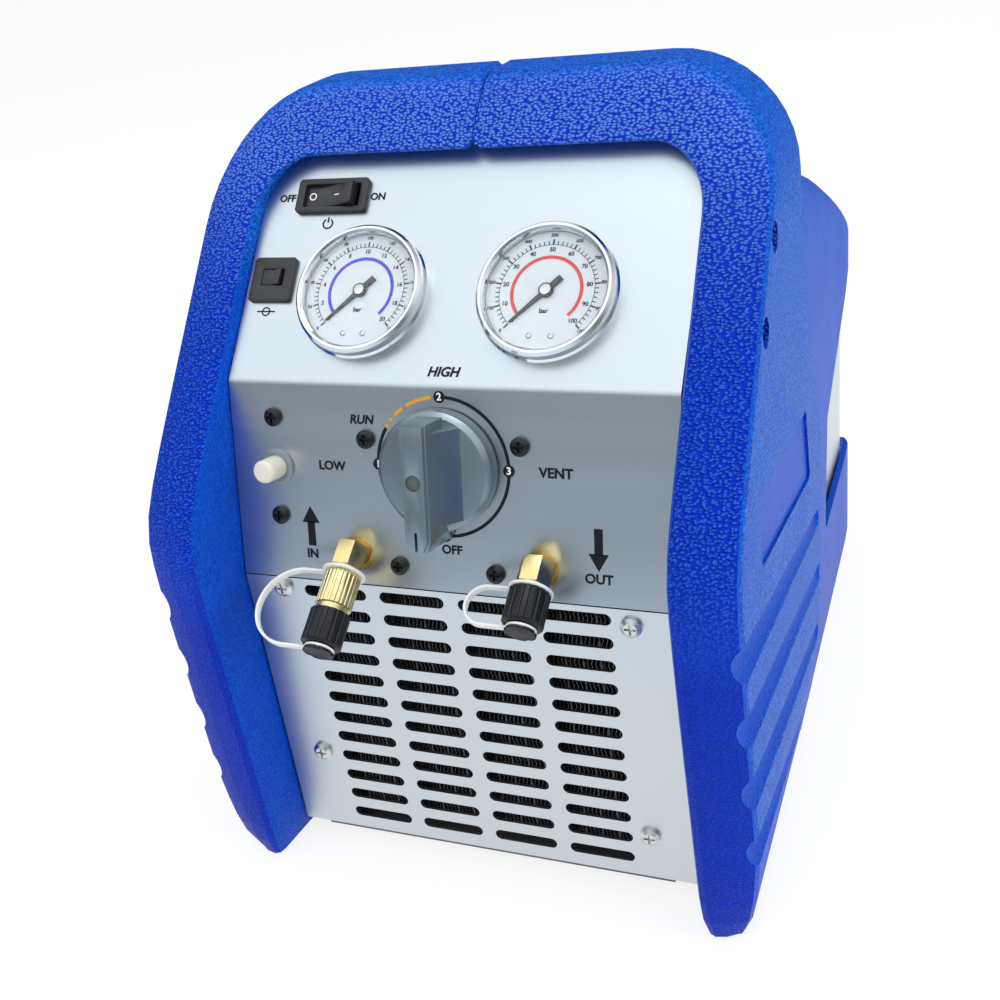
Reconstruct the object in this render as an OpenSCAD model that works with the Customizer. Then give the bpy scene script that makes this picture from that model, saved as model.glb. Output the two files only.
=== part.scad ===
// Portable refrigerant recovery machine: two moulded half shells round a sheet-metal case,
// with a folded instrument panel in front and an air-cooled oil-less compressor inside.
// X runs to the right seen from the front, Y to the back and Z up. The floor is at Z = 0.

/* [Overall] */
// Width across the two moulded shells at the arch
body_w = 254; // [244:1:280]
// Height of the arch crown above the floor
body_h = 346; // [340:1:365]
// Depth of the shells behind the grille plate
back_d = 352; // [348:1:390]
// Clearance between fixed pieces that lie next to each other
fit_gap = 0.3; // [0.2:0.05:0.5]
// Clearance between a moving piece and what it moves past
run_gap = 0.4; // [0.3:0.05:0.6]
// Radial clearance of a shaft in its bearing
shaft_gap = 0.05; // [0.03:0.01:0.1]

/* [Shells] */
// Width of the bevelled front frame
frame_w = 27; // [24:0.5:32]
// Distance that the frame's front edge stands before the grille plate
frame_proud = 30; // [24:1:34]
// Depth of the frame's inner wall behind the panel
frame_lip = 12; // [10:0.5:15]
// Drop of the frame's forward kink below the crown
kink_drop = 156; // [145:1:165]
// Roundness of the kink
kink_soft = 12; // [6:1:16]
// Forward rake of the legs
leg_lean = 3.1; // [1:0.1:6]
// Outward splay of the legs' sides
leg_splay = 0.9; // [0.4:0.1:1.4]
// Backward lean of the frame above the kink
brow_lean = 42.2; // [38:0.2:43]
// Corner radius of the frame opening
open_r = 24; // [18:1:30]
// Setback of the frame's outer edge behind its inner edge
bevel = 3.5; // [2:0.5:6]
// Rounding of the frame's inner edge
inner_r = 4.5; // [2:0.5:7]
// Rounding of the frame's outer edge
outer_r = 4.5; // [3:0.5:7]
// Wall thickness of the frame's side land
land_wall = 8; // [6:0.5:9]
// Rear edge of the side land at the floor, behind the grille plate
land_foot = 131; // [115:1:145]
// Rear edge of the side land at the waist
land_waist = 178; // [165:1:190]
// Rear edge of the side land at the shoulder
land_head = 138; // [130:1:146]
// Drop of the waist below the kink
waist_drop = 50; // [40:1:65]
// Drop below the crown where the land's rear edge turns upright
head_drop = 108; // [96:1:120]
// Underside of the shells above the floor
foot_z = 2.5; // [1.5:0.5:5]
// Narrowing of the frame at the foot
foot_taper = 8; // [4:0.5:11]
// Height over which the foot narrows
foot_rise = 62; // [40:1:80]
// Step from the land down to the rear skirt
skirt_step = 3; // [1.5:0.5:4]
// Inward draft of the skirt from front to rear
skirt_draft = 2.5; // [1:0.5:4]
// Wall thickness of the rear skirt
skirt_wall = 3.5; // [2.5:0.25:4]
// Radius of the rounded shoulder
shoulder_r = 14; // [10:1:20]
// Inner edge of the shoulder, from the centre plane
shoulder_in = 78; // [66:1:84]
// Drop of the shoulder below the crown at the land
shoulder_drop = 50; // [44:1:54]
// Fall of the shoulder from the land to the rear
shoulder_fall = 83; // [70:1:95]
// Height of the side window's sill
sill_z = 70; // [50:1:80]
// Height of the side window at its front edge
window_h = 56; // [50:1:70]
// Rise of the side window's head towards the rear
window_rise = 26; // [20:1:32]
// Front edge of the side window, behind the grille plate
window_y = 236; // [226:1:250]
// Number of grooves in each side land
groove_n = 4; // [3:1:5]
// Drop of the top groove below the kink
groove_drop = 35; // [28:1:42]
// Height of the lowest groove at the front edge
groove_low = 60.5; // [50:0.5:70]
// Radius of a groove at its front end
groove_r = 10; // [7:0.5:12]
// Depth of a groove at its front end
groove_deep = 5; // [2:0.5:6]
// Gap between the two shells at the seam
seam_gap = 0.6; // [0.3:0.1:1]
// Radius of the recessed screw holes in the frame's side
recess_r = 6.2; // [5:0.2:7]
// Depth of the recessed screw holes
recess_deep = 12; // [8:0.5:15]

/* [Front panel] */
// Sheet thickness of the panel, grille and case
sheet = 1.5; // [1:0.1:2]
// Drop of the fold between the faces below the opening's top
fold_drop = 78.6; // [76:0.2:82]
// Length of the port face
port_face = 87.5; // [84:0.5:92]
// Backward lean of the port face
port_lean = 14; // [11:0.5:16]
// Backward lean of the gauge face
gauge_lean = 43.6; // [42.5:0.1:45]
// Height of the grille plate's lower edge
grille_z = 12; // [8:0.5:18]
// Width of the panel's folded side flange
flange_w = 16; // [12:0.5:20]
// Outer radius of the fold between the port face and the gauge face
fold_r = 5; // [3:0.5:8]
// Number of slot columns in the grille
slot_cols = 4; // [2:1:4]
// Number of slot rows in the grille
slot_rows = 12; // [8:1:12]
// Width of the plain margin beside the slots
slot_side = 26; // [22:1:32]
// Width of the bridge between two slots in a row
slot_bridge = 6.6; // [4:0.2:10]
// Height of a slot
slot_h = 5.6; // [4:0.2:7]
// Distance of the top slot row below the ledge
slot_top = 6; // [5:0.5:9]
// Distance of the bottom slot row above the plate's lower edge
slot_foot = 9.9; // [8:0.1:14]

/* [Gauges] */
// Distance of each gauge's rim from the centre plane
gauge_mid = 11.7; // [8:0.1:16]
// Gap between the low gauge's rim and the breaker
gauge_gap = 5.65; // [3:0.05:9]
// Distance of the gauges up the face from the fold
gauge_s = 40; // [36:0.5:46]
// Height of the bezel above the panel
gauge_proud = 8; // [6:0.5:10]
// Width of the bezel rim
bezel_w = 3.4; // [2.5:0.1:4]
// Depth of the gauge case behind the panel
gauge_deep = 24; // [18:0.5:28]
// Sweep of the gauge pointer
gauge_sweep = 270; // [240:5:280]

/* [Controls] */
// Distance of the selector up the port face from the ledge
knob_s = 54; // [50:0.5:57]
// Radius of the selector knob's disc
knob_r = 25; // [22:0.5:27]
// Height of the disc
knob_disc_h = 9; // [6:0.5:12]
// Height of the knob's grip
knob_h = 27; // [22:0.5:30]
// Width of the grip
grip_w = 11; // [9:0.5:14]
// Radius of the selector stem
stem_r = 5; // [4:0.25:6]
// Distance of the power switch's middle from the opening's side
switch_in = 34.5; // [31:0.5:40]
// Place of the power switch up the gauge face
switch_s = 86; // [84:0.5:88]
// Length of the switch bezel
switch_l = 34.5; // [30:0.5:37]
// Height of the switch bezel
switch_h = 16; // [14:0.5:18]
// Tilt of the rocker each way
rocker_tilt = 11; // [8:0.5:13]
// Distance of the breaker's middle from the opening's side
breaker_in = 13; // [12.5:0.5:16]
// Place of the breaker up the gauge face
breaker_s = 46.5; // [44:0.5:50]
// Side of the breaker's square bezel
breaker_w = 20.5; // [18:0.5:21]
// Distance of the pressure reset from the opening's side
reset_in = 21.5; // [18:0.5:26]
// Place of the pressure reset up the port face
reset_s = 50.5; // [48:0.5:54]
// Radius of the reset button
reset_r = 5; // [4:0.25:5.5]
// Height of the reset button
reset_h = 12.5; // [9:0.5:14]
// Travel of the reset button
reset_travel = 4; // [2:0.5:5]
// Pitch of the pressure switch's two screws
reset_pitch = 43.5; // [40:0.5:46]

/* [Ports] */
// Distance of each port from the centre plane
port_x = 42; // [40:0.5:50]
// Distance of the ports up the port face from the ledge
port_s = 13.8; // [12:0.2:16]
// Downward bend of the port elbows
port_bend = 45; // [40:1:50]
// Length of an elbow's neck in front of the panel
neck_h = 8; // [6:0.5:10]
// Radius of the flare nipple
flare_r = 5.5; // [5:0.1:6]
// Length of the nipple beyond the bend
flare_l = 18; // [16:0.5:20]
// Start of the cap along the nipple
cap_at = 8; // [7:0.5:9]
// Radius of the ribbed port caps
cap_r = 8.6; // [7.8:0.1:9.2]
// Length of a port cap
cap_l = 18; // [16:0.5:20]
// Length of the inlet filter
filter_l = 18; // [16:0.5:20]
// Radius of the inlet filter
filter_r = 7.8; // [7.2:0.1:8.4]

/* [Case and works] */
// Distance of the case's side inside the shells' widest face
case_in = 10; // [9.5:0.5:13]
// Drop of the case top below the crown
case_drop = 64; // [64:0.5:68]
// Fall of the case top towards the rear
case_fall = 76; // [70:0.5:90]
// Rear face of the case, behind the grille plate
case_d = 336; // [330:1:340]
// Height of the base pan's floor
pan_z = 9; // [7:0.5:11]
// Radius of the rubber feet
pad_r = 6; // [5:0.5:7]
// Margin between the fan and the condenser's edge
fan_edge = 6; // [4:0.5:14]
// Number of fan blades
fan_n = 5; // [3:1:7]
// Depth of the condenser
coil_d = 20; // [15:1:22]
// Radius of the compressor's drive motor
motor_r = 44; // [36:1:48]
// Height of the compressor's crankshaft axis
crank_z = 86; // [80:1:92]
// Distance of the compressor's middle from the case's rear face
comp_back = 146; // [136:1:152]

/* [Hidden] */
$fn = 48;

half = body_w / 2;
open_x = half - frame_w;
open_z = body_h - frame_w;
arc_x = open_x - open_r;
arc_z = open_z - open_r;
kink_z = body_h - kink_drop;
waist_z = kink_z - waist_drop;
head_z = body_h - head_drop;
port_tilt = port_bend - port_lean;
button_r = 4;
lobe_r = button_r + 2.6;
front_reach = neck_h * cos(port_lean) + (cap_at + filter_l + cap_l) * cos(port_tilt)
    + lobe_r * sin(port_tilt) - port_s * sin(port_lean);
panel_y = (front_reach - back_d) / 2;
fold_y = panel_y + port_face * sin(port_lean);
fold_z = open_z - fold_drop;
ledge_z = fold_z - port_face * cos(port_lean);
rear_y = panel_y + back_d;
skirt_front = panel_y + land_foot - skirt_wall;
case_y = panel_y + case_d;
panel_x = open_x - fit_gap;
case_x = half - case_in;
case_z = body_h - case_drop;
shoulder_z = body_h - shoulder_drop;
breaker_x = breaker_in - open_x;
switch_x = switch_in - open_x;
reset_x = reset_in - open_x;
gauge_r = (open_x - breaker_in - breaker_w / 2 - gauge_gap - gauge_mid) / 2;
gauge_x = gauge_mid + gauge_r;
leg_rake = tan(leg_lean);
brow_rake = tan(brow_lean);
kink_dip = kink_soft * sqrt(leg_rake * brow_rake) / (leg_rake + brow_rake);
frame_front = panel_y - frame_proud - kink_dip;
big = 2 * (body_w + body_h + back_d);

// Outlines shared by the pieces

function mix(a, b, k) = a + (b - a) * k;

// Front surface of the panel at a height
function panel_at(z) = panel_y + max(0, z - ledge_z) * tan(port_lean)
    + max(0, z - fold_z) * (tan(gauge_lean) - tan(port_lean));

// Front edge of the frame at a height, with a softened kink
function front_at(z) = let (a = (kink_z - z) * leg_rake, b = (z - kink_z) * brow_rake)
    frame_front + (a + b + norm([a - b, kink_soft])) / 2;

// Outward shift of the legs at a height
function splay_at(z) = max(0, arc_z - z) * tan(leg_splay);

// Rear edge of the frame's side land at a height
function land_at(z) = panel_y + lookup(z, [[0, land_foot], [waist_z, land_waist], [head_z, land_head]]);

// Top of the shoulder at a depth
function shoulder_at(y) = let (k = max(0, (y - panel_y - land_head) / (back_d - land_head)))
    shoulder_z - shoulder_fall * (0.72 * k + 0.28 * k * k);

// Top of the case at a depth
function case_at(y) = let (k = max(0, (y - panel_y - land_head) / (case_d - land_head)))
    case_z - case_fall * (0.72 * k + 0.28 * k * k);

// Places on the gauge face, the port face and the grille: local Z points out of the panel
module on_gauge_face(x, s) {
    translate([x, fold_y, fold_z]) rotate([90 - gauge_lean, 0, 0]) translate([0, s, 0]) children();
}

module on_port_face(x, s) {
    translate([x, panel_y, ledge_z]) rotate([90 - port_lean, 0, 0]) translate([0, s, 0]) children();
}

module on_grille(x, s) {
    translate([x, panel_y, ledge_z]) rotate([90, 0, 0]) translate([0, -s, 0]) children();
}

// Along a port's bent axis, starting at the bend
module on_port(x) {
    on_port_face(x, port_s) translate([0, 0, neck_h]) rotate([port_bend, 0, 0]) children();
}

// A shape drawn in X and Z, extruded through the depth
module through_y() {
    rotate([90, 0, 0]) linear_extrude(big, center = true) children();
}

// A shape drawn in Y and Z, extruded along X from x0 to x1
module along_x(x0, x1) {
    translate([x0, 0, 0]) rotate([90, 0, 90]) linear_extrude(x1 - x0) children();
}

module round_box(size, r) {
    translate([-size[0] / 2, -size[1] / 2, 0]) linear_extrude(size[2]) {
        translate([r, 0]) square([size[0] - 2 * r, size[1]]);
        translate([0, r]) square([size[0], size[1] - 2 * r]);
        for (x = [r, size[0] - r], y = [r, size[1] - r]) translate([x, y]) circle(r);
    }
}

module opening_outline(inset) {
    translate([-open_x + inset, 0]) square([2 * (open_x - inset), arc_z]);
    translate([-arc_x, 0]) square([2 * arc_x, open_z - inset]);
    for (s = [-1, 1]) translate([s * arc_x, arc_z]) circle(open_r - inset);
}

// A closed solid through rings of points
module loft(rings) {
    n = len(rings[0]);
    m = len(rings);
    walls = [for (i = [0:m - 2], j = [0:n - 1]) let (k = (j + 1) % n)
        each [[i * n + j, i * n + k, (i + 1) * n + k], [i * n + j, (i + 1) * n + k, (i + 1) * n + j]]];
    ends = [[for (j = [n - 1:-1:0]) j], [for (j = [0:n - 1]) (m - 1) * n + j]];
    polyhedron([for (r = rings) each r], concat(walls, ends), convexity = 8);
}

// Shells

// One cross-section of the frame, from the inner wall round the face to the land. The legs are shifted
// outwards by their splay, while the inner wall's back edge and the land's inner face stay upright.
function frame_ring(x0, bz, nx, nz, wall, pinch) =
    let (shift = splay_at(bz) * nx,
        bx = x0 + shift,
        w = frame_w - foot_taper * pow(max(0, 1 - bz / foot_rise), 2),
        set = bevel * mix(0.3, 1, nx),
        deep = frame_w - wall - shift,
        outline = [[-shift, panel_at(bz) + frame_lip, -1], [0, inner_r, 0], [0.3 * inner_r, 0.3 * inner_r, 0],
            [inner_r, 0, 0], [mix(inner_r, w - outer_r, 0.6), set * 0.35, 0], [w - outer_r, set, 0],
            [w - 0.3 * outer_r, set + 0.3 * outer_r, 0], [w, set + outer_r, 0],
            [w, -skirt_step, 1], [w - skirt_step, 0, 1], [deep, 0, 1], [deep, panel_at(bz) + frame_lip, -1]],
        points = [for (q = outline) let (x = bx + nx * q[0], z = bz + nz * q[0])
            [x, q[1] + (q[2] == 0 ? front_at(z) : q[2] == 1 ? land_at(z) : 0), z]],
        centre = [bx + nx * w / 2, (front_at(bz) + land_at(bz)) / 2, bz + nz * w / 2])
    [for (i = [len(points) - 1:-1:0]) let (p = points[i]) [mix(p[0], centre[0], pinch * nx),
        mix(p[1], centre[1], 0.2 * pinch), mix(p[2], centre[2], pinch * nz)]];

function frame_rings() = let (n = 26, full = frame_w - 2)
    concat([for (i = [0:n]) let (z = mix(foot_z, arc_z, i / n))
            frame_ring(open_x, z, 1, 0, land_wall, i == 0 ? 0.22 : i == 1 ? 0.04 : 0)],
        [for (a = [9:9:90]) frame_ring(arc_x + open_r * cos(a), arc_z + open_r * sin(a), cos(a), sin(a),
            mix(land_wall, full, a / 90), 0)],
        [for (k = [0.66, 0.33, 0.04]) frame_ring(arc_x * k, open_z, 0, 1, full, 0)],
        [frame_ring(seam_gap / 2, open_z, 0, 1, full, 0.16)]);

// One cross-section of the rear skirt and shoulder, inset by the wall for its inner face. Its inner edge
// turns down to the case's top.
function skirt_side(y) = let (run = (y - panel_y - land_foot) / (back_d - land_foot), tail = rear_y - y,
        turn = max(0, 1 - tail / shoulder_r))
    half - skirt_step - skirt_draft * run - shoulder_r * (1 - sqrt(1 - 0.5 * turn * turn));

function skirt_row(y, inset) = let (x = skirt_side(y) - inset, z = shoulder_at(y) - inset,
        r = shoulder_r - inset)
    concat([for (k = [0, 0.3, 0.6, 1]) [x, y, mix(foot_z, z - r, k)]],
        [for (a = [18:18:90]) [x - r + r * cos(a), y, z - r + r * sin(a)]],
        [[shoulder_in + inset, y, z], [shoulder_in + inset, y, case_at(y) + 2 * fit_gap]]);

function skirt_depths() =
    concat([skirt_front], [for (k = [0:0.125:0.9]) mix(panel_y + land_head, rear_y, k)],
        [for (t = [0.6, 0.3, 0.12, 0]) rear_y - t * shoulder_r]);

module skirt() {
    loft([for (y = skirt_depths()) let (inner = skirt_row(y, skirt_wall))
        concat(skirt_row(y, 0), [for (i = [len(inner) - 1:-1:0]) inner[i]])]);
}

// The grooves fall towards the back and grow shallow before the land's rear edge
groove_z = kink_z - groove_drop;
groove_pitch = (groove_z - groove_low) / (groove_n - 1);
groove_fall = 0.21;
tail_r = 0.7 * groove_r;
tail_deep = 0.4 * groove_deep;

module groove(i) {
    z = groove_z - i * groove_pitch;
    tail = land_at(z) - 2 * groove_r;
    low = z - groove_fall * (tail - frame_front);
    hull() {
        translate([half + splay_at(z) + groove_r - groove_deep, frame_front - groove_r, z])
            sphere(groove_r, $fn = 24);
        translate([half + splay_at(low) + tail_r - tail_deep, tail, low]) sphere(tail_r, $fn = 24);
    }
}

// A shallow slanted recess in the land above the grooves
plaque = [[18, 8], [126, -7], [131, -38], [20, -18]];
plaque_deep = 1.2;
plaque_r = 3;

module land_recess() {
    hull() for (c = plaque) let (z = kink_z + c[1])
        translate([half + splay_at(z) - plaque_deep, panel_y + c[0], z]) rotate([0, 90, 0])
            cylinder(half, plaque_r, plaque_r, $fn = 20);
}

// Rounded opening in the skirt where the case shows. Its head rises to the rear, where it is open.
window_r = 6;
window_end = back_d + 30;

module side_window() {
    head = sill_z + window_h;
    hull() for (c = [[window_y, sill_z], [window_y + 10, head], [window_end, sill_z],
            [window_end, head + tan(window_rise) * (window_end - window_y - 10)]])
        translate([shoulder_in, panel_y + c[0], c[1]]) rotate([0, 90, 0])
            cylinder(half, window_r, window_r, $fn = 24);
}

// Screw recesses in the side land, right behind the frame's rounded edge
recess_drops = [61, 90];
recess_spots = [for (d = recess_drops)
    [front_at(body_h - d) - panel_y + bevel + outer_r + 1.4 * recess_r, body_h - d]];

module right_half() {
    difference() {
        union() {
            loft(frame_rings());
            skirt();
            // Inner ribs that stiffen the skirt against the case
            for (k = [0.25, 0.62]) let (y = mix(panel_y + land_waist, rear_y, k))
                hull() for (z = [foot_z + 8, sill_z - 3 * window_r])
                    translate([case_x + fit_gap, y, z]) rotate([0, 90, 0])
                        cylinder(skirt_side(y) - case_x - fit_gap - 1, 4, 4, $fn = 16);
        }
        for (i = [0:groove_n - 1]) groove(i);
        land_recess();
        side_window();
        for (c = recess_spots) translate([open_x - 1, panel_y + c[0], c[1]]) rotate([0, 90, 0]) {
            cylinder(frame_w + 2, screw_r + fit_gap, screw_r + fit_gap, $fn = 20);
            translate([0, 0, frame_w + 1 - recess_deep])
                cylinder(recess_deep + 1, recess_r, recess_r, $fn = 28);
        }
        // The shell is cut off flat at its underside
        translate([0, 0, foot_z - big / 2]) cube([big, big, big], center = true);
    }
}

module right_shell() {
    color("royalblue") right_half();
}

module left_shell() {
    color("royalblue") mirror([1, 0, 0]) right_half();
}

// Screws

screw_r = 2;

// Pan-head screw with a cross recess
module pan_screw(head_r, head_h, shank_l) {
    difference() {
        union() {
            cylinder(head_h * 0.55, head_r, head_r);
            translate([0, 0, head_h * 0.55]) cylinder(head_h * 0.45, head_r, head_r * 0.62);
            translate([0, 0, -shank_l]) cylinder(shank_l, screw_r, screw_r);
        }
        for (a = [0, 90]) rotate([0, 0, a]) translate([0, 0, head_h])
            cube([head_r * 1.1, head_r * 0.24, head_h * 1.2], center = true);
    }
}

valve_spots = [[-34.5, 64.4], [34.5, 64.4], [-22, 10], [22, 10]];
reset_spots = [[reset_x, reset_s - reset_pitch / 2], [reset_x, reset_s + reset_pitch / 2]];
grille_h = ledge_z - grille_z;
grille_spots = [[19 - open_x, 5], [open_x - 21, 8], [19 - open_x, 0.683 * grille_h],
    [open_x - 21, 0.829 * grille_h]];
screw_l = 6;

module panel_screws() {
    color("black") for (c = concat(valve_spots, reset_spots))
        on_port_face(c[0], c[1]) pan_screw(4, 2.4, screw_l);
}

module grille_screws() {
    color("silver") for (c = grille_spots) on_grille(c[0], c[1]) pan_screw(4.6, 2.6, screw_l);
}

module shell_screws() {
    color("dimgray") for (s = [-1, 1], c = recess_spots)
        translate([s * (half - recess_deep), panel_y + c[0], c[1]]) rotate([0, s * 90, 0])
            pan_screw(4.5, 2.6, frame_w - recess_deep + flange_w / 4);
}

// A point in Y and Z on the port face or the gauge face, s up the face and d behind it
function port_point(s, d) = [panel_y + s * sin(port_lean) + d * cos(port_lean),
    ledge_z + s * cos(port_lean) - d * sin(port_lean)];

function gauge_point(s, d) = [fold_y + s * sin(gauge_lean) + d * cos(gauge_lean),
    fold_z + s * cos(gauge_lean) - d * sin(gauge_lean)];

// Profile of the folded sheet at a thickness, up to a length of the gauge face
module panel_profile(thick, top) {
    half_turn = tan((gauge_lean - port_lean) / 2);
    centre = port_point(port_face - fold_r * half_turn, fold_r);
    inner = max(0.5, fold_r - thick);
    heart = port_point(port_face - (thick + inner) * half_turn, thick + inner);
    turns = [for (k = [0:0.2:1]) mix(port_lean, gauge_lean, k)];
    polygon(concat([port_point(fit_gap, 0)], [for (a = turns) centre + fold_r * [-cos(a), sin(a)]],
        [gauge_point(top, 0), gauge_point(top, thick)],
        [for (i = [len(turns) - 1:-1:0]) heart + inner * [-cos(turns[i]), sin(turns[i])]],
        [port_point(fit_gap, thick)]));
}

// Front panel: one sheet folded between the gauge face and the port face, with flanges behind its edges
module front_panel() {
    color("silver") difference() {
        union() {
            intersection() {
                along_x(-panel_x, panel_x) panel_profile(sheet, body_h);
                through_y() opening_outline(fit_gap);
            }
            for (x = [-panel_x, panel_x - sheet]) along_x(x, x + sheet) panel_profile(flange_w, flange_l);
        }
        for (s = [-1, 1]) on_gauge_face(s * gauge_x, gauge_s) translate([0, 0, -sheet - 1])
            cylinder(sheet + 2, gauge_r - bezel_w + fit_gap, gauge_r - bezel_w + fit_gap);
        on_gauge_face(switch_x, switch_s) translate([0, 0, -sheet - 1])
            round_box([switch_l - 4, switch_h - 2, sheet + 2], 1);
        on_gauge_face(breaker_x, breaker_s) translate([0, 0, -sheet - 1])
            round_box([breaker_w - 4, breaker_w - 4, sheet + 2], 1);
        on_port_face(0, knob_s) translate([0, 0, -sheet - 1])
            cylinder(sheet + 2, stem_r + run_gap, stem_r + run_gap);
        on_port_face(reset_x, reset_s) translate([0, 0, -sheet - 1])
            cylinder(sheet + 2, collar_r + fit_gap, collar_r + fit_gap);
        for (s = [-1, 1]) on_port_face(s * port_x, port_s) translate([0, 0, -sheet - 1])
            cylinder(sheet + 2, port_hole_r, port_hole_r);
        for (c = concat(valve_spots, reset_spots)) on_port_face(c[0], c[1]) translate([0, 0, -sheet - 1])
            cylinder(sheet + 2, screw_r + fit_gap, screw_r + fit_gap);
        for (c = recess_spots) translate([-half, panel_y + c[0], c[1]]) rotate([0, 90, 0])
            cylinder(body_w, screw_r + fit_gap, screw_r + fit_gap);
    }
}

flange_l = (arc_z - fold_z) / cos(gauge_lean);
port_hole_r = 7.6;
collar_r = reset_r + 2;

grille_lip = 6;
slot_px = 2 * (open_x - slot_side) / slot_cols;
slot_l = slot_px - slot_bridge;
slot_pz = (grille_h - slot_top - slot_foot) / (slot_rows - 1);

// Grille plate: flat sheet with rows of round-ended slots, folded back at the bottom
module grille_plate() {
    color("silver") difference() {
        union() {
            translate([-panel_x, panel_y, grille_z])
                cube([2 * panel_x, sheet, ledge_z - grille_z - fit_gap]);
            translate([-panel_x, panel_y, grille_z]) cube([2 * panel_x, grille_lip, sheet]);
        }
        for (i = [0:slot_cols - 1], j = [0:slot_rows - 1])
            on_grille((i - (slot_cols - 1) / 2) * slot_px, slot_top + j * slot_pz)
                translate([0, 0, -sheet - 1]) linear_extrude(sheet + 2) {
                    square([slot_l - slot_h, slot_h], center = true);
                    for (s = [-1, 1]) translate([s * (slot_l - slot_h) / 2, 0]) circle(slot_h / 2);
                }
        for (c = grille_spots) on_grille(c[0], c[1]) translate([0, 0, -sheet - 1])
            cylinder(sheet + 2, screw_r + fit_gap, screw_r + fit_gap);
    }
}

hood_x = open_x - flange_w / 4 - 2 * fit_gap;

// Hood: a bent roof from the panel's top edge down to the case, below the hand grip
module hood_wedge(x, drop) {
    back = sheet / cos(gauge_lean) + fit_gap;
    along_x(-x, x) polygon([[panel_at(case_z) + back - 2 * drop, case_z + fit_gap - 2 * drop],
        [panel_at(open_z) + back - 2 * drop, open_z - fit_gap - drop * sqrt(2)],
        [skirt_front - fit_gap - drop * sqrt(2), case_z + fit_gap - 2 * drop]]);
}

module top_hood() {
    color("lightgray") intersection() {
        difference() {
            hood_wedge(hood_x, 0);
            hood_wedge(hood_x - sheet, sheet);
        }
        through_y() opening_outline(fit_gap);
    }
}

// Case: a bent cover with chamfered top edges, seen through the shells' side windows and from above
case_chamfer = shoulder_r - skirt_wall;
case_front = frame_lip + 3;

module case_section(y0, y1, x, drop) {
    c = case_chamfer;
    loft([for (y = [y0, y1]) let (z = case_at(y) - drop, z0 = pan_z + sheet - drop)
        [[-x, y, z0], [x, y, z0], [x, y, z - c], [x - c, y, z], [c - x, y, z], [-x, y, z - c]]]);
}

module case_body(x, drop) {
    steps = [land_head, mix(land_head, case_d, 0.35), mix(land_head, case_d, 0.7), case_d];
    front = panel_y + sheet;
    case_section(front, panel_y + steps[0], x, drop);
    for (i = [0:2]) case_section(panel_y + steps[i], panel_y + steps[i + 1], x, drop);
}

module case_cover() {
    color("lightgray") difference() {
        case_body(case_x, 0);
        translate([0, sheet, 0]) case_body(case_x - sheet, sheet);
        translate([0, -sheet, 0]) case_body(case_x - sheet, sheet);
        // Front edge cut to the panel's profile, behind the frame's inner wall
        along_x(-half, half) polygon([[-big, 0], [panel_y + case_front, 0], [panel_y + case_front, ledge_z],
            [fold_y + case_front, fold_z], [panel_at(case_z) + case_front + gauge_deep, case_z],
            [panel_at(case_z) + case_front + gauge_deep, body_h], [-big, body_h]]);
    }
}

// Rear panel with the fan's outlet slots and the supply inlet's cut-out
inlet_w = 27;
inlet_h = 20;
inlet_x = 62;
inlet_z = 44;
vent_cols = 3;
vent_rows = 8;
vent_l = 37;
vent_h = 5;
vent_z = 84;
vent_px = 0.4 * case_x;
vent_pz = (case_at(case_y) - vent_z - 26) / vent_rows;

module rear_panel() {
    edge = case_x - sheet - fit_gap;
    top = case_at(case_y) - sheet - fit_gap;
    color("silver") difference() {
        along_x(-edge, edge) translate([case_y - 2 * sheet, pan_z + sheet + fit_gap])
            square([sheet, top - pan_z - sheet - fit_gap]);
        for (s = [-1, 1]) translate([s * edge, case_y - sheet, top]) rotate([0, 45, 0])
            cube([case_chamfer * sqrt(2), big, case_chamfer * sqrt(2)], center = true);
        for (i = [0:vent_cols - 1], j = [0:vent_rows - 1])
            translate([(i - (vent_cols - 1) / 2) * vent_px, case_y, vent_z + j * vent_pz]) rotate([90, 0, 0])
                linear_extrude(4 * sheet) {
                    square([vent_l - vent_h, vent_h], center = true);
                    for (s = [-1, 1]) translate([s * (vent_l - vent_h) / 2, 0]) circle(vent_h / 2);
                }
        translate([inlet_x, case_y, inlet_z]) rotate([90, 0, 0]) translate([0, 0, -1])
            round_box([inlet_w + 2 * fit_gap, inlet_h + 2 * fit_gap, 4 * sheet], 2);
        for (c = rear_spots) translate([c[0], case_y, c[1]]) rotate([90, 0, 0]) translate([0, 0, -1])
            cylinder(4 * sheet, screw_r + fit_gap, screw_r + fit_gap);
    }
}

rear_spots = [for (x = [13 - case_x, case_x - 13], z = [28, case_at(case_y) - 38]) [x, z]];

module rear_screws() {
    color("silver") for (c = rear_spots) translate([c[0], case_y - sheet, c[1]]) rotate([-90, 0, 0])
        pan_screw(4, 2.2, screw_l);
}

module power_inlet() {
    color("black") translate([inlet_x, case_y - sheet, inlet_z]) rotate([-90, 0, 0]) difference() {
        union() {
            translate([0, 0, -22]) round_box([inlet_w, inlet_h, 22], 2);
            round_box([inlet_w + 6, inlet_h + 6, 2.5], 3);
        }
        translate([0, 0, -15]) round_box([inlet_w - 4, inlet_h - 4, 20], 3);
    }
    color("silver") for (c = [[-7, -2], [0, 2], [7, -2]])
        translate([inlet_x + c[0], case_y - sheet - 16, inlet_z + c[1]])
            rotate([-90, 0, 0]) translate([-1, -2, 0]) cube([2, 4, 13]);
}

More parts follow.
